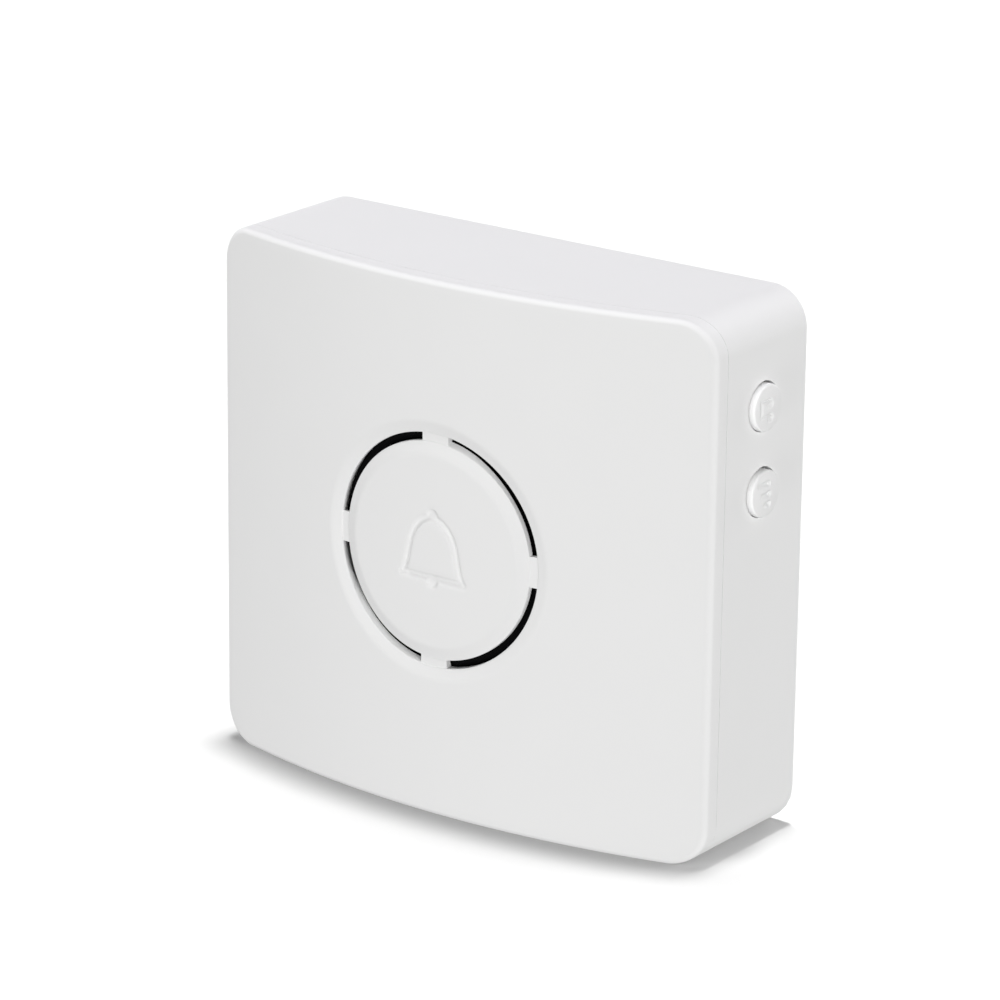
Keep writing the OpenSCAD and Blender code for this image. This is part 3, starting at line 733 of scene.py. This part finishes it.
    lean_in, low, thin = 0.5 * lean(35, 80, 84), lean(192, 226, 264), lean(98, 130, 196)
    lean_out = 0.38 * low
    zone_back = []
    for r in reversed(zone_r):
        t = (r - SLOT_IN) / (SLOT_OUT - SLOT_IN)
        c = circle(r)
        c *= ((r + (1 - t) * lean_in - t * lean_out) / r)[:, None]
        ring = b.add(at_depth(c, 1.45 + t * (0.45 - 0.4 * low - 0.75 * thin)))
        b.strip(prev, ring, slot if zone_back else None)
        zone_back.append(ring)
        prev = ring
    zone_back = zone_back[::-1]
    for r, d in ((16.3, 1.45), (16.15, PLATE), (14.0, PLATE), (12.0, PLATE), (r0, PLATE)):
        ring = b.add(at_depth(circle(r), d))
        b.strip(prev, ring)
        prev = ring
    patch(b, prev, circle(r0), [], hex_fill(r0 - 0.5, 1.0), lambda p: at_depth(p, PLATE))
    # walls of the four slots
    for q in range(4):
        i0, i1 = q * nq + i_lo, q * nq + i_hi
        run = list(range(i0, i1 + 1))

        def path(zone):
            return ([zone[0][i % total] for i in run] + [z[i1 % total] for z in zone[1:-1]]
                    + [zone[-1][i % total] for i in reversed(run)] + [z[i0 % total] for z in reversed(zone[1:-1])])

        b.strip(path(zone_front), path(zone_back))
    ob = new_object("cover_shell", b.verts(), b.f)

    clamp = [(25.5 * math.cos(math.radians(a)), ZC + 25.5 * math.sin(math.radians(a))) for a in (90, 210, 330)]
    add, cut = [], []
    for x, z in CASE_XZ:
        y0 = float(front(x)) + 1.2
        add.append(lathe("post", [(3.0, y0), (3.0, 3.8), (2.94, 3.94), (2.8, 4.0), (0, 4.0)], "y", (x, 0, z), 48))
        cut.append(lathe("hole", [(0, -6.5), (1.27, -5.8), (1.27, 3.7), (1.57, 4.0), (1.57, 5.0)], "y", (x, 0, z), 32))
    for x, z in clamp:
        y0 = float(front(x)) + 1.4
        add.append(lathe("post", [(2.4, y0), (2.4, -10.05), (2.25, -9.9), (0, -9.9)], "y", (x, 0, z), 40))
        cut.append(lathe("hole", [(0, -11.9), (0.92, -11.4), (0.92, -10.1), (1.12, -9.9), (1.12, -9.0)], "y", (x, 0, z), 24))
    combine(ob, add, "UNION")
    combine(ob, cut, "DIFFERENCE")
    shade(ob, 38, weighted=False)
    return ob


cover = finish_piece(front_cover(), "case", ["front_cover"], [case_white])


# ---- rear housing -----------------------------------------------------------------
def key_outline():
    """Keyhole: round entry with a narrower slot above it."""
    a = math.degrees(math.asin(0.5))
    entry = arc(0, 72, 4.0, 90 + a, 450 - a, 48)
    slot = arc(0, 78, 2.0, 0, 180, 24)
    return np.concatenate([entry, slot])


def rear_housing():
    th = np.radians(np.concatenate([np.concatenate([np.linspace(a0, a1, m, endpoint=False) for a0, a1, m in
                                                    ((0, 38.27, 14), (38.27, 46.83, 18), (46.83, 90, 26))]) + 90 * q for q in range(4)]))
    p0, nrm = outline(th)
    rim, rr, rb = SEAM + 0.085, 0.07, 0.75
    rings = [at_y(p0 - nrm * 2.5, Y_IN), at_y(p0 - nrm * 2.15, Y_IN - 0.15), at_y(p0 - nrm * WALL, Y_IN - 0.5),
             at_depth(p0 - nrm * WALL, rim)]
    rings += [at_depth(p0 - nrm * rr * (1 - math.sin(a)), rim + rr * (1 - math.cos(a))) for a in np.linspace(0, math.pi / 2, 5)]
    rings += [at_y(p0 - nrm * rb * (1 - math.cos(a)), YB - rb + rb * math.sin(a)) for a in np.linspace(0, math.pi / 2, 8)]
    ob = loft("housing_shell", rings)
    add = [rbox("bay", (BAY_X[0] - 1.2, BAY_X[1] + 1.2), (BAY_FLOOR - 1.2, Y_IN + 0.5), (BAY_Z[0] - 1.2, BAY_Z[1] + 1.2), 0.3)]
    for x, z in CASE_XZ:
        add.append(lathe("boss", [(0, 4.0), (3.7, 4.0), (3.9, 4.2), (3.9, Y_IN + 0.5), (0, Y_IN + 0.5)], "y", (x, 0, z), 56))
    for x, z in ((31, 15.5), (26.5, 68.5)):
        add.append(lathe("post", [(0, 8.2), (2.45, 8.2), (2.6, 8.35), (2.6, Y_IN + 0.5), (0, Y_IN + 0.5)], "y", (x, 0, z), 40))
    for s in (-1, 1):
        y = sorted((BTN_Y + s * 4.95, BTN_Y + s * 6.15))
        add.append(rbox("rib", (40.4, X_IN + 0.5), y, (49.5, 74.4), 0.2))
    add.append(rbox("bar", (-W / 2 + 1, 24.5), (11.6, Y_IN + 0.5), (BAY_Z[1] + 0.5, 67.6), 0.25))
    add.append(rbox("hood", (-6.5, 6.5), (8.0, Y_IN + 0.5), (66.6, H - 1), 0.4))
    combine(ob, add, "UNION")
    cut = [rbox("room", BAY_X, (BAY_FLOOR, YB + 3), BAY_Z, 0.35)]
    cut.append(cutter("recess", "y", rounded_rect(DOOR_X[0] - 0.3, DOOR_X[1] + 0.3, DOOR_Z0 - 0.3, HINGE_Z + BARREL + 0.3, 0.35),
                      14.05, YB, 0.22))
    cut.append(lathe("groove", [(0, DOOR_X[0] - 0.3), (1.5, DOOR_X[0] - 0.3), (1.5, DOOR_X[1] + 0.3), (0, DOOR_X[1] + 0.3)], "x",
                     (0, HINGE_Y, HINGE_Z), 40))
    cut.append(lathe("pivot", [(0, DOOR_X[0] - 1.8), (0.85, DOOR_X[0] - 1.8), (0.85, DOOR_X[1] + 1.8), (0, DOOR_X[1] + 1.8)], "x",
                     (0, HINGE_Y, HINGE_Z), 28))
    cut.append(cutter("notch", "y", rounded_rect(LATCH_X - 4.6, LATCH_X + 4.6, DOOR_Z0 - 1.6, DOOR_Z0 + 0.6, 0.4), 13.8, YB, 0.2))
    for x, z in CASE_XZ:
        lip = [(2.7 + 0.3 * (1 - math.cos(a)), YB - 0.3 + 0.3 * math.sin(a)) for a in np.linspace(0, math.pi / 2, 6)]
        cut.append(lathe("sunk", [(0, 3.0), (1.5, 3.0), (1.5, 6.0), (2.7, 6.0)] + lip + [(3.0, YB + 1), (0, YB + 1)], "y", (x, 0, z), 64))
    for x, z in ((31, 15.5), (26.5, 68.5)):
        cut.append(lathe("pilot", [(0, 12.4), (0.97, 12.1), (0.97, 7.0), (0, 7.0)], "y", (x, 0, z), 24))
    for z in BTN_Z:
        lip = [(BTN_HOLE + 0.06 * (1 - math.cos(a)), X_SIDE - 0.06 + 0.06 * math.sin(a)) for a in np.linspace(0, math.pi / 2, 5)]
        cut.append(lathe("button_hole", [(0, 40.0), (BTN_HOLE, 40.0)] + lip + [(BTN_HOLE + 0.06, 48), (0, 48)], "x", (0, BTN_Y, z), 96))
    cut.append(cutter("keyhole", "y", key_outline(), 10.0, YB, 0.25, steps=5))
    cut.append(rbox("pocket", (-5.3, 5.3), (9.2, Y_IN), (67.8, H - WALL - 0.6), 0.3))
    cut.append(rbox("tab", (BAY_X[1] - 0.1, BAY_X[1] + 2.2), (0.9, 5.1), (22.9, 27.1), 0.1))
    cut.append(rbox("tab", (BAY_X[0] - 2.2, BAY_X[0] + 0.1), (0.9, 5.1), (52.9, 57.1), 0.1))
    combine(ob, cut, "DIFFERENCE")
    shade(ob, 32)
    return ob


housing = finish_piece(rear_housing(), "case", ["rear_housing"], [case_white])


# ---- battery flap -----------------------------------------------------------------
def battery_flap():
    r = 0.22
    y0, y1 = YB - 1.4, YB
    barrel = arc(HINGE_Y, HINGE_Z, BARREL, 0, 259, 36)
    profile = np.concatenate([arc(y1 - r, DOOR_Z0 + r, r, -90, 0, 5), barrel, arc(y0 + r, DOOR_Z0 + r, r, 180, 270, 5)])
    ob = prism("flap_shell", "x", profile, *DOOR_X, r=0.2)
    x0, x1 = DOOR_X
    ends = [(0, x0 - 1.6), (0.62, x0 - 1.6), (0.8, x0 - 1.42), (0.8, x1 + 1.42), (0.62, x1 + 1.6), (0, x1 + 1.6)]
    add = [lathe("stubs", ends, "x", (0, HINGE_Y, HINGE_Z), 32),
           rbox("nib", (LATCH_X - 4, LATCH_X + 4), (y0, y1 - 0.5), (DOOR_Z0 - 1.2, DOOR_Z0 + 0.9), 0.2)]
    combine(ob, add, "UNION")
    cut = []
    for s in (-1, 1):
        slot = rounded_rect(LATCH_X + s * 6 - 0.4, LATCH_X + s * 6 + 0.4, DOOR_Z0 - 1.5, DOOR_Z0 + 9, 0.38, 8)
        cut.append(cutter("slot", "y", slot, y0 - 1, y1, 0.15))
    for k in range(4):
        z0 = DOOR_Z0 + 2 + 1.7 * k
        cut.append(cutter("grip", "y", rounded_rect(LATCH_X - 4.2, LATCH_X + 4.2, z0, z0 + 0.8, 0.39, 8), y1 - 0.5, y1, 0.14, floor_r=0.3))
    combine(ob, cut, "DIFFERENCE")
    shade(ob, 32)
    return ob


flap = finish_piece(battery_flap(), "battery_door", ["battery_door"], [case_white])


# ---- push buttons -----------------------------------------------------------------
def scoops(y, z, parts):
    """Depth of the soft hollows of a sign, and how near each point is to one (under 1 is inside)."""
    deep, near = np.zeros_like(y), np.full_like(y, 9.0)
    for ya, za, yb, zb, w_left, w_right, w_z, d0, d1 in parts:
        dy, dz = y - np.clip(y, ya, yb), z - np.clip(z, za, zb)
        u = np.hypot(dy / np.where(dy > 0, w_right, w_left), dz / w_z)
        d = d0 + (d1 - d0) * np.clip((y - ya) / max(yb - ya, 0.1), 0, 1)
        deep = np.maximum(deep, d * np.cos(np.pi / 2 * np.minimum(u, 1)) ** 2)
        near = np.minimum(near, u)
    return deep, near


def push_button(name, z, sign):
    """Slightly domed cap with a sunk sign; it hangs a little low and forward in its hole."""
    top, r, er, r0, n = X_SIDE + PROUD, BTN_R, 0.32, 3.0, 96
    cy, cz = BTN_Y - 0.18, z - 0.05
    th = np.linspace(0, 2 * np.pi, n, endpoint=False)
    b = Build()

    def ring(q, x):
        return b.add(np.stack([np.full(n, x), cy + q * np.cos(th), cz + q * np.sin(th)], 1))

    def face(p):
        return np.stack([top - (p**2).sum(1) / 50 - scoops(p[:, 0], p[:, 1], sign)[0], cy + p[:, 0], cz + p[:, 1]], 1)

    fine, coarse = hex_fill(r0 - 0.06, 0.075), hex_fill(r0 - 0.15, 0.28)
    fill = np.concatenate([fine[scoops(*fine.T, sign)[1] < 1.3], coarse[scoops(*coarse.T, sign)[1] > 1.5]])
    first = prev = ring(r0, top - r0 * r0 / 50)
    patch(b, first, np.stack([r0 * np.cos(th), r0 * np.sin(th)], 1), [], fill, face)
    rows = [(3.15, top - 3.15**2 / 50)]
    tilt = math.atan((r - er) / 25)
    rows += [(r - er + er * math.sin(a), top - (r - er) ** 2 / 50 - er * (1 - math.cos(a))) for a in np.linspace(tilt, math.pi / 2, 8)]
    for q, x in rows + [(r, 42.4)]:
        row = ring(q, x)
        b.strip(prev, row)
        prev = row
    b.cap(prev)
    ob = new_object(name, b.verts(), b.f)
    add = [rbox("flange", (X_IN - 1.2, X_IN - 0.1), (BTN_Y - 4.7, BTN_Y + 4.7), (z - 4.7, z + 4.7), 0.25),
           lathe("stem", [(0, 40.2), (1.45, 40.2), (1.6, 40.35), (1.6, X_IN - 1), (0, X_IN - 1)], "x", (0, BTN_Y, z), 40)]
    combine(ob, add, "UNION")
    shade(ob, 50)
    return ob


# a pair of notes lying on their side, and three bars of rising length
note_sign = [(-1.95, -1.1, -1.95, 1.15, 0.5, 0.5, 0.5, 0.14, 0.14)]
note_sign += [(-1.8, -1.1 + 2.3 * s, 0.6 - 0.3 * s, -1.1 + 2.3 * s, 0.4, 0.4, 0.42, 0.1, 0.3) for s in (0, 1)]
note_sign += [(0.15 - 0.3 * s, -1.6 + 2.2 * s, 0.75 - 0.3 * s, -1.6 + 2.2 * s, 0.9, 0.8, 0.8, 0.28, 0.38) for s in (0, 1)]
bar_sign = [(-0.4 - 0.75 * k, -1.65 + 1.58 * k, 0.6 - 0.1 * k, -1.65 + 1.58 * k, 0.6, 0.8, 0.66, 0.14, 0.38) for k in range(3)]
melody = finish_piece(push_button("melody_cap", BTN_Z[0], note_sign), "melody_button", ["melody_button"], [button_white])
volume = finish_piece(push_button("volume_cap", BTN_Z[1], bar_sign), "volume_button", ["volume_button"], [button_white])


# ---- cells, springs and leads -------------------------------------------------------
def cells():
    profile = [(0, 0.0), (5.3, 0.0), (5.6, 0.12), (5.75, 0.4), (6.3, 0.4), (6.45, 0.14), (6.75, 0.02), (7.0, 0.12), (7.12, 0.35), (CELL_R, 0.6)]
    jacket_from = 4
    profile += [(CELL_R, 48.35), (7.12, 48.6), (7.0, 48.83), (6.75, 48.93), (6.45, 48.8), (6.3, 48.55)]
    jacket_to = len(profile) - 1
    profile += [(6.1, 48.45), (3.5, 48.45), (3.1, 48.5), (2.8, 48.75), (2.7, 49.1), (2.7, 49.75), (2.6, 49.95), (2.35, 50.05), (0, 50.05)]
    n = 72
    b = Build()
    mats = []
    for cz, flip in zip(CELL_Z, (1, -1, 1)):
        th = np.linspace(0, 2 * np.pi, n, endpoint=False)
        rows = []
        for r, t in profile:
            x = BAY_MID + flip * (t - 22.5)
            if r == 0:
                rows.append(b.add([[x, CELL_Y, cz]]))
            else:
                rows.append(b.add(np.stack([np.full(n, x), CELL_Y + r * np.cos(th), cz + r * np.sin(th)], 1)))
        for k, (p, q) in enumerate(zip(rows, rows[1:])):
            before = len(b.f)
            if len(p) == 1:
                b.f += [(p[0], q[(i + 1) % n], q[i]) for i in range(n)]
            elif len(q) == 1:
                b.f += [(p[i], p[(i + 1) % n], q[0]) for i in range(n)]
            else:
                b.strip(p, q)
            mats += [0 if jacket_from <= k < jacket_to else 1] * (len(b.f) - before)
    ob = new_object("cells", b.verts(), b.f)
    ob.data.materials.append(cell_jacket)
    ob.data.materials.append(can_steel)
    ob.data.polygons.foreach_set("material_index", mats)
    shade(ob, 40, weighted=False)
    return ob


finish_piece(cells(), "case", ["battery_cells"])


def sweep(name, paths, radius, sides=12):
    """Round wires along point lists, with slightly rounded ends."""
    b = Build()
    th = np.linspace(0, 2 * np.pi, sides, endpoint=False)
    for p in paths:
        p = np.asarray(p, float)
        t = np.gradient(p, axis=0)
        t /= np.linalg.norm(t, axis=1)[:, None]
        u = np.cross(t[0], (0.31, -0.87, 0.38))
        rows = []
        for k in range(len(p)):
            u = u - t[k] * (u @ t[k])
            u /= np.linalg.norm(u)
            v = np.cross(t[k], u)
            ring = np.cos(th)[:, None] * u + np.sin(th)[:, None] * v
            if k == 0:
                rows.append(b.add(p[0] + radius * 0.8 * ring))
                rows.append(b.add(p[0] + t[0] * radius * 0.2 + radius * ring))
            elif k == len(p) - 1:
                rows.append(b.add(p[k] - t[k] * radius * 0.2 + radius * ring))
                rows.append(b.add(p[k] + radius * 0.8 * ring))
            else:
                rows.append(b.add(p[k] + radius * ring))
        for q, w in zip(rows, rows[1:]):
            b.strip(q, w)
        b.cap(rows[0])
        b.cap(rows[-1])
    ob = new_object(name, b.verts(), b.f)
    shade(ob, 50, weighted=False)
    return ob


def spring_paths():
    length = 5.05
    t = np.linspace(0, 1, 150)
    a = 2 * np.pi * 3.5 * t
    c = np.clip((t - 0.14) / 0.72, 0, 1)
    r = 4.4 - 2.0 * t
    local = np.stack([-BAY_HALF + 0.4 + 0.5 + (length - 1.0) * c, r * np.cos(a), r * np.sin(a)], 1)
    out = []
    for cz, flip in zip(CELL_Z, (1, -1, 1)):
        out.append(local * (flip, flip, 1) + (BAY_MID, CELL_Y, cz))
    return out


finish_piece(sweep("springs", spring_paths(), 0.4), "case", ["battery_springs"], [spring_steel])


def smooth_route(p, m=8):
    p = np.asarray(p, float)
    out = []
    for i in range(len(p) - 1):
        a, b, c, d = p[max(i - 1, 0)], p[i], p[i + 1], p[min(i + 2, len(p) - 1)]
        for k in range(m):
            t = k / m
            out.append(0.5 * (2 * b + (c - a) * t + (2 * a - 5 * b + 4 * c - d) * t * t + (3 * b - a - 3 * c + d) * t**3))
    out.append(p[-1])
    return np.array(out)


SPK_RED = [[2.5, -4.4, 28.2], [4.5, -4.2, 25.5], [12, -4.2, 21.8], [19, -4.4, 21.6], [23.5, -5.6, 25], [26, -5.8, 29],
           [27.8, -4.4, 30.6], [28.3, -2.2, 30.7], [28.3, 0.9, 30.7]]
SPK_BLACK = [[-2.5, -4.4, 28.2], [-0.5, -4.2, 24], [8, -4.2, 19.8], [18, -4.4, 19.4], [25, -6.2, 22.6], [29, -6.8, 27],
             [30.5, -5.2, 30.3], [30.7, -2.6, 30.7], [30.7, 0.9, 30.7]]
BAT_RED = [[22.4, 2.3, 25], [22.9, 0.2, 24.6], [24.2, -2, 23.2], [26.6, -3.2, 22], [28.1, -2.4, 21.7], [28.3, -0.8, 21.7], [28.3, 0.9, 21.7]]
BAT_BLACK = [[-39.2, 2.3, 55], [-39.6, 0.6, 57], [-39.8, 0.2, 61], [-38, 0.2, 64.6], [-33, 0.4, 65.4], [-16, 0.4, 65.4], [4, 0.4, 65.4],
             [16, 0.4, 65.4], [21, 0.3, 65], [22.6, -0.4, 62], [22.8, -2, 54], [23.4, -3.8, 40], [25, -4.6, 27], [28.6, -4.4, 22.4],
             [30.5, -2.8, 21.7], [30.7, -0.9, 21.7], [30.7, 0.9, 21.7]]
for route, node, slot, mat in ((SPK_RED, "speaker_lead_red", "wire_red", wire_red), (SPK_BLACK, "speaker_lead_black", "wire_black", wire_black),
                               (BAT_RED, "battery_lead_red", "wire_red", wire_red), (BAT_BLACK, "battery_lead_black", "wire_black", wire_black)):
    finish_piece(sweep("lead_" + node, [smooth_route(route)], 0.6), "case", [node], [mat])
turns = np.linspace(0, 84, 200)
coil = np.stack([37 + 2.1 * np.sin(np.radians(30 * turns)), 3.4 + 2.1 * np.cos(np.radians(30 * turns)), 37.9 + 1.5 * turns / 12], 1)
tail = smooth_route([[37, 4.5, 36.03], [37, 4.5, 36.4], [37, 4.9, 37.2], coil[0]], 5)[:-1]
finish_piece(sweep("coil", [np.concatenate([tail, coil])], 0.35), "case", ["antenna_coil"], [copper])


# ---- acoustic cloth behind the slots ----------------------------------------------------
def cloth_ring():
    """Flat ring of cloth glued to the back of the plate, a little slack between the glue spots."""
    th = np.linspace(0, 2 * np.pi, 240, endpoint=False)
    b, rows = Build(), []
    radii = np.linspace(14.5, 18.45, 11)
    for level, row in ((2.03, radii), (2.31, radii[::-1])):
        for r in row:
            slack = math.sin(math.pi * (r - 14.5) / 3.95) ** 2 * (0.5 + 0.5 * np.cos(12 * th + 0.4 * np.sin(3 * th)))
            rows.append(b.add(at_depth(np.stack([r * np.cos(th), r * np.sin(th)], 1), level + 0.06 * slack)))
    for p, q in zip(rows, rows[1:] + rows[:1]):
        b.strip(p, q)
    ob = new_object("cloth_ring", b.verts(), b.f)
    shade(ob, 40, weighted=False)
    return ob


cloth = finish_piece(cloth_ring(), "case", ["dust_cloth"], [cloth_black])


# ---- speaker cone -----------------------------------------------------------------------
def paper_cone():
    """Dust cap, ribbed cone, rolled surround with its flange, and the voice coil's former behind."""
    ribs = np.linspace(0, 1, 33)
    wave = 0.05 * np.sin(2 * np.pi * 4 * ribs) * np.sin(np.pi * ribs)
    prof = [(r, -10.7 + 1.8 * (r / 5.3) ** 2) for r in np.linspace(0, 5.3, 9)]
    prof += [(5.3 + 9.7 * t, -8.9 - 1.8 * t + w) for t, w in zip(ribs[1:], wave[1:])]
    prof += [(15 + 2 * t, -10.7 - 0.55 * t - 0.25 * math.sin(math.pi * t)) for t in np.linspace(0, 1, 13)[1:]]
    prof += [(18.52, -11.25), (18.6, -11.17), (18.6, -10.98), (18.52, -10.9), (16.9, -10.9), (16.5, -10.97), (16.1, -10.93), (15.6, -10.68)]
    prof += [(15.2 - 9.8 * t, -10.3 + 1.85 * t + w) for t, w in zip(ribs, wave[::-1])]
    prof += [(5.36, -8.2), (5.3, -5.3), (5.2, -5.2), (4.95, -5.2), (4.85, -5.3)]
    prof += [(r, -10.3 + 1.5 * (r / 4.85) ** 2) for r in np.linspace(4.85, 0, 9)]
    ob = lathe("cone", prof, "y", (0, 0, ZC), 96)
    shade(ob, 35, weighted=False)
    return ob


finish_piece(paper_cone(), "case", ["speaker_cone"], [cone_paper])


# ---- pieces that keep their CAD shape --------------------------------------------------
KEPT = {
    "melody_switch_body": (switch_black, 0.12), "volume_switch_body": (switch_black, 0.12),
    "melody_switch_plunger": (plunger_black, 0.15), "volume_switch_plunger": (plunger_black, 0.15),
    "main_board": (board_green, 0.08), "radio_board": (radio_green, 0.08), "board_screws": (steel, 0.12), "controller_chip": (chip_black, 0.05),
    "crystal": (can_steel, 0.15), "capacitor": (capacitor_sleeve, 0.15), "speaker_connector": (connector_ivory, 0.12),
    "battery_connector": (connector_ivory, 0.12), "speaker_gasket": (gasket_foam, 0.08),
    "speaker_frame": (frame_grey, 0.08), "speaker_magnet": (ferrite, 0.15), "speaker_yoke": (steel, 0.12),
    "speaker_terminals": (tag_board, 0.06), "speaker_clamp": (clamp_white, 0.12), "speaker_screws": (steel, 0.12),
    "contact_plates": (spring_steel, 0.06), "case_screws": (steel, 0.15),
}
for name, (mat, edge) in KEPT.items():
    ob = nodes[name]
    ob.data.materials.clear()
    ob.data.materials.append(mat)
    ob.data.polygons.foreach_set("material_index", [0] * len(ob.data.polygons))
    if edge:
        weld = ob.modifiers.new("weld", "WELD")
        weld.merge_threshold = 1e-6
        bev = ob.modifiers.new("edges", "BEVEL")
        bev.width, bev.segments, bev.limit_method, bev.angle_limit = edge * MM, 2, "ANGLE", math.radians(40)
        bev.harden_normals = False
        wn = ob.modifiers.new("even_normals", "WEIGHTED_NORMAL")
        wn.keep_sharp = True

# ---- stage, light and camera ---------------------------------------------------------------
floor_me = bpy.data.meshes.new("floor")
floor_me.from_pydata([(-9, -9, 0), (9, -9, 0), (9, 9, 0), (-9, 9, 0)], [], [(0, 1, 2, 3)])
floor = bpy.data.objects.new("floor", floor_me)
scene.collection.objects.link(floor)
floor.location.z = -0.00002
floor_mat = Mat("floor_white", (0.6, 0.6, 0.6), spread=0.004, spread_scale=0.01, rough=(0.6, 0.7), grain=0.0, specular=0.2)
floor_me.materials.append(floor_mat.m)
# the floor takes shadows but throws no light back up
floor.visible_diffuse = floor.visible_glossy = floor.visible_shadow = False


def sun(name, azimuth, elevation, strength, angle, colour=(1, 1, 1)):
    """Soft light from an azimuth (0 = from the front, 90 = from the right) and elevation, in degrees."""
    data = bpy.data.lights.new(name, "SUN")
    data.energy, data.angle, data.color = strength, math.radians(angle), colour
    ob = bpy.data.objects.new(name, data)
    a, e = math.radians(azimuth), math.radians(elevation)
    ob.rotation_mode = "QUATERNION"
    to_light = Vector((math.sin(a) * math.cos(e), -math.cos(a) * math.cos(e), math.sin(e)))
    ob.rotation_quaternion = to_light.to_track_quat("Z", "Y")
    ob.location = to_light * 1.5
    scene.collection.objects.link(ob)
    return ob


# one set of lights models the box, another only the floor and the shadow on it, and the caps take more from the front
# right and less from behind
def linked(name, include, exclude=()):
    c = bpy.data.collections.new(name)
    for ob in (*include, *exclude):
        c.objects.link(ob)
    for k in range(len(include), len(include) + len(exclude)):
        c.collection_objects[k].light_linking.link_state = "EXCLUDE"
    return c


on_box, on_case = linked("on_box", (), (floor,)), linked("on_case", (), (floor, melody, volume))
on_caps, on_floor = linked("on_caps", (melody, volume)), linked("on_floor", (floor,))
for lamp, receivers in (
        (sun("low_front", 0, -15, 2.01, 25), on_box), (sun("right", 60, 5, 1.31, 25), on_box), (sun("upper_left", -60, 60, 1.27, 25), on_box),
        (sun("overhead", 205, 85, 1.5, 10, (1, 0.985, 1.04)), on_box), (sun("left_rear", -115, 3, 1.6, 40), on_box),
        (sun("rear", 180, 3, 1.3, 40), on_box), (sun("right_rear", 120, -10, 1.61, 35), on_case),
        (sun("caps_front", 52, 25, 0.99, 20), on_caps), (sun("caps_rear", 120, -10, 0.82, 35), on_caps),
        (sun("floor_rear", 180, 20, 1.34, 45), on_floor), (sun("floor_left", -90, 5, 1.35, 40), on_floor),
        (sun("floor_front", 0, 15, 2.97, 60), on_floor), (sun("floor_right", 130, 15, 2.24, 40), on_floor),
        (sun("floor_top_a", 150, 78, 0.25, 12), on_floor), (sun("floor_top_b", 180, 87, 2.45, 5), on_floor),
        (sun("floor_top_c", 240, 78, 1.16, 12), on_floor)):
    lamp.light_linking.receiver_collection = receivers
# pale surroundings behind everything, and a weak even light from all round
world = bpy.data.worlds.new("studio")
scene.world = world
world.use_nodes = True
wn = world.node_tree
wn.nodes["Background"].inputs["Color"].default_value = (1, 1, 1, 1)
rays = wn.nodes.new("ShaderNodeLightPath")
level = wn.nodes.new("ShaderNodeMapRange")
level.inputs["To Min"].default_value, level.inputs["To Max"].default_value = 0.05, 1.0
wn.links.new(rays.outputs["Is Camera Ray"], level.inputs["Value"])
wn.links.new(level.outputs[0], wn.nodes["Background"].inputs["Strength"])
scene.view_settings.view_transform = "Standard"
scene.view_settings.look = "None"

yaw, pitch, roll = math.radians(36.235), math.radians(18.172), math.radians(0.670)
back = Vector((math.sin(yaw) * math.cos(pitch), -math.cos(yaw) * math.cos(pitch), math.sin(pitch)))
right = Vector((math.cos(yaw), math.sin(yaw), 0))
up = right.cross(-back)
r2 = math.cos(roll) * right + math.sin(roll) * up
u2 = -math.sin(roll) * right + math.cos(roll) * up
eye = (0.84 * (back * 882.8 + r2 * 7.100 + u2 * 7.166) + Vector((0, -8.4, 42))) * MM
cam_data = bpy.data.cameras.new("camera")
cam_data.lens, cam_data.sensor_width = 4940.2 / 1000 * 36, 36.0
cam_data.clip_start, cam_data.clip_end = 0.05, 50
cam = bpy.data.objects.new("camera", cam_data)
cam.matrix_world = Matrix.Translation(eye) @ Matrix((r2, u2, back)).transposed().to_4x4()
scene.collection.objects.link(cam)
scene.camera = cam

# ---- the end ----------------------------------------------------------------------------------
bpy.context.view_layer.update()
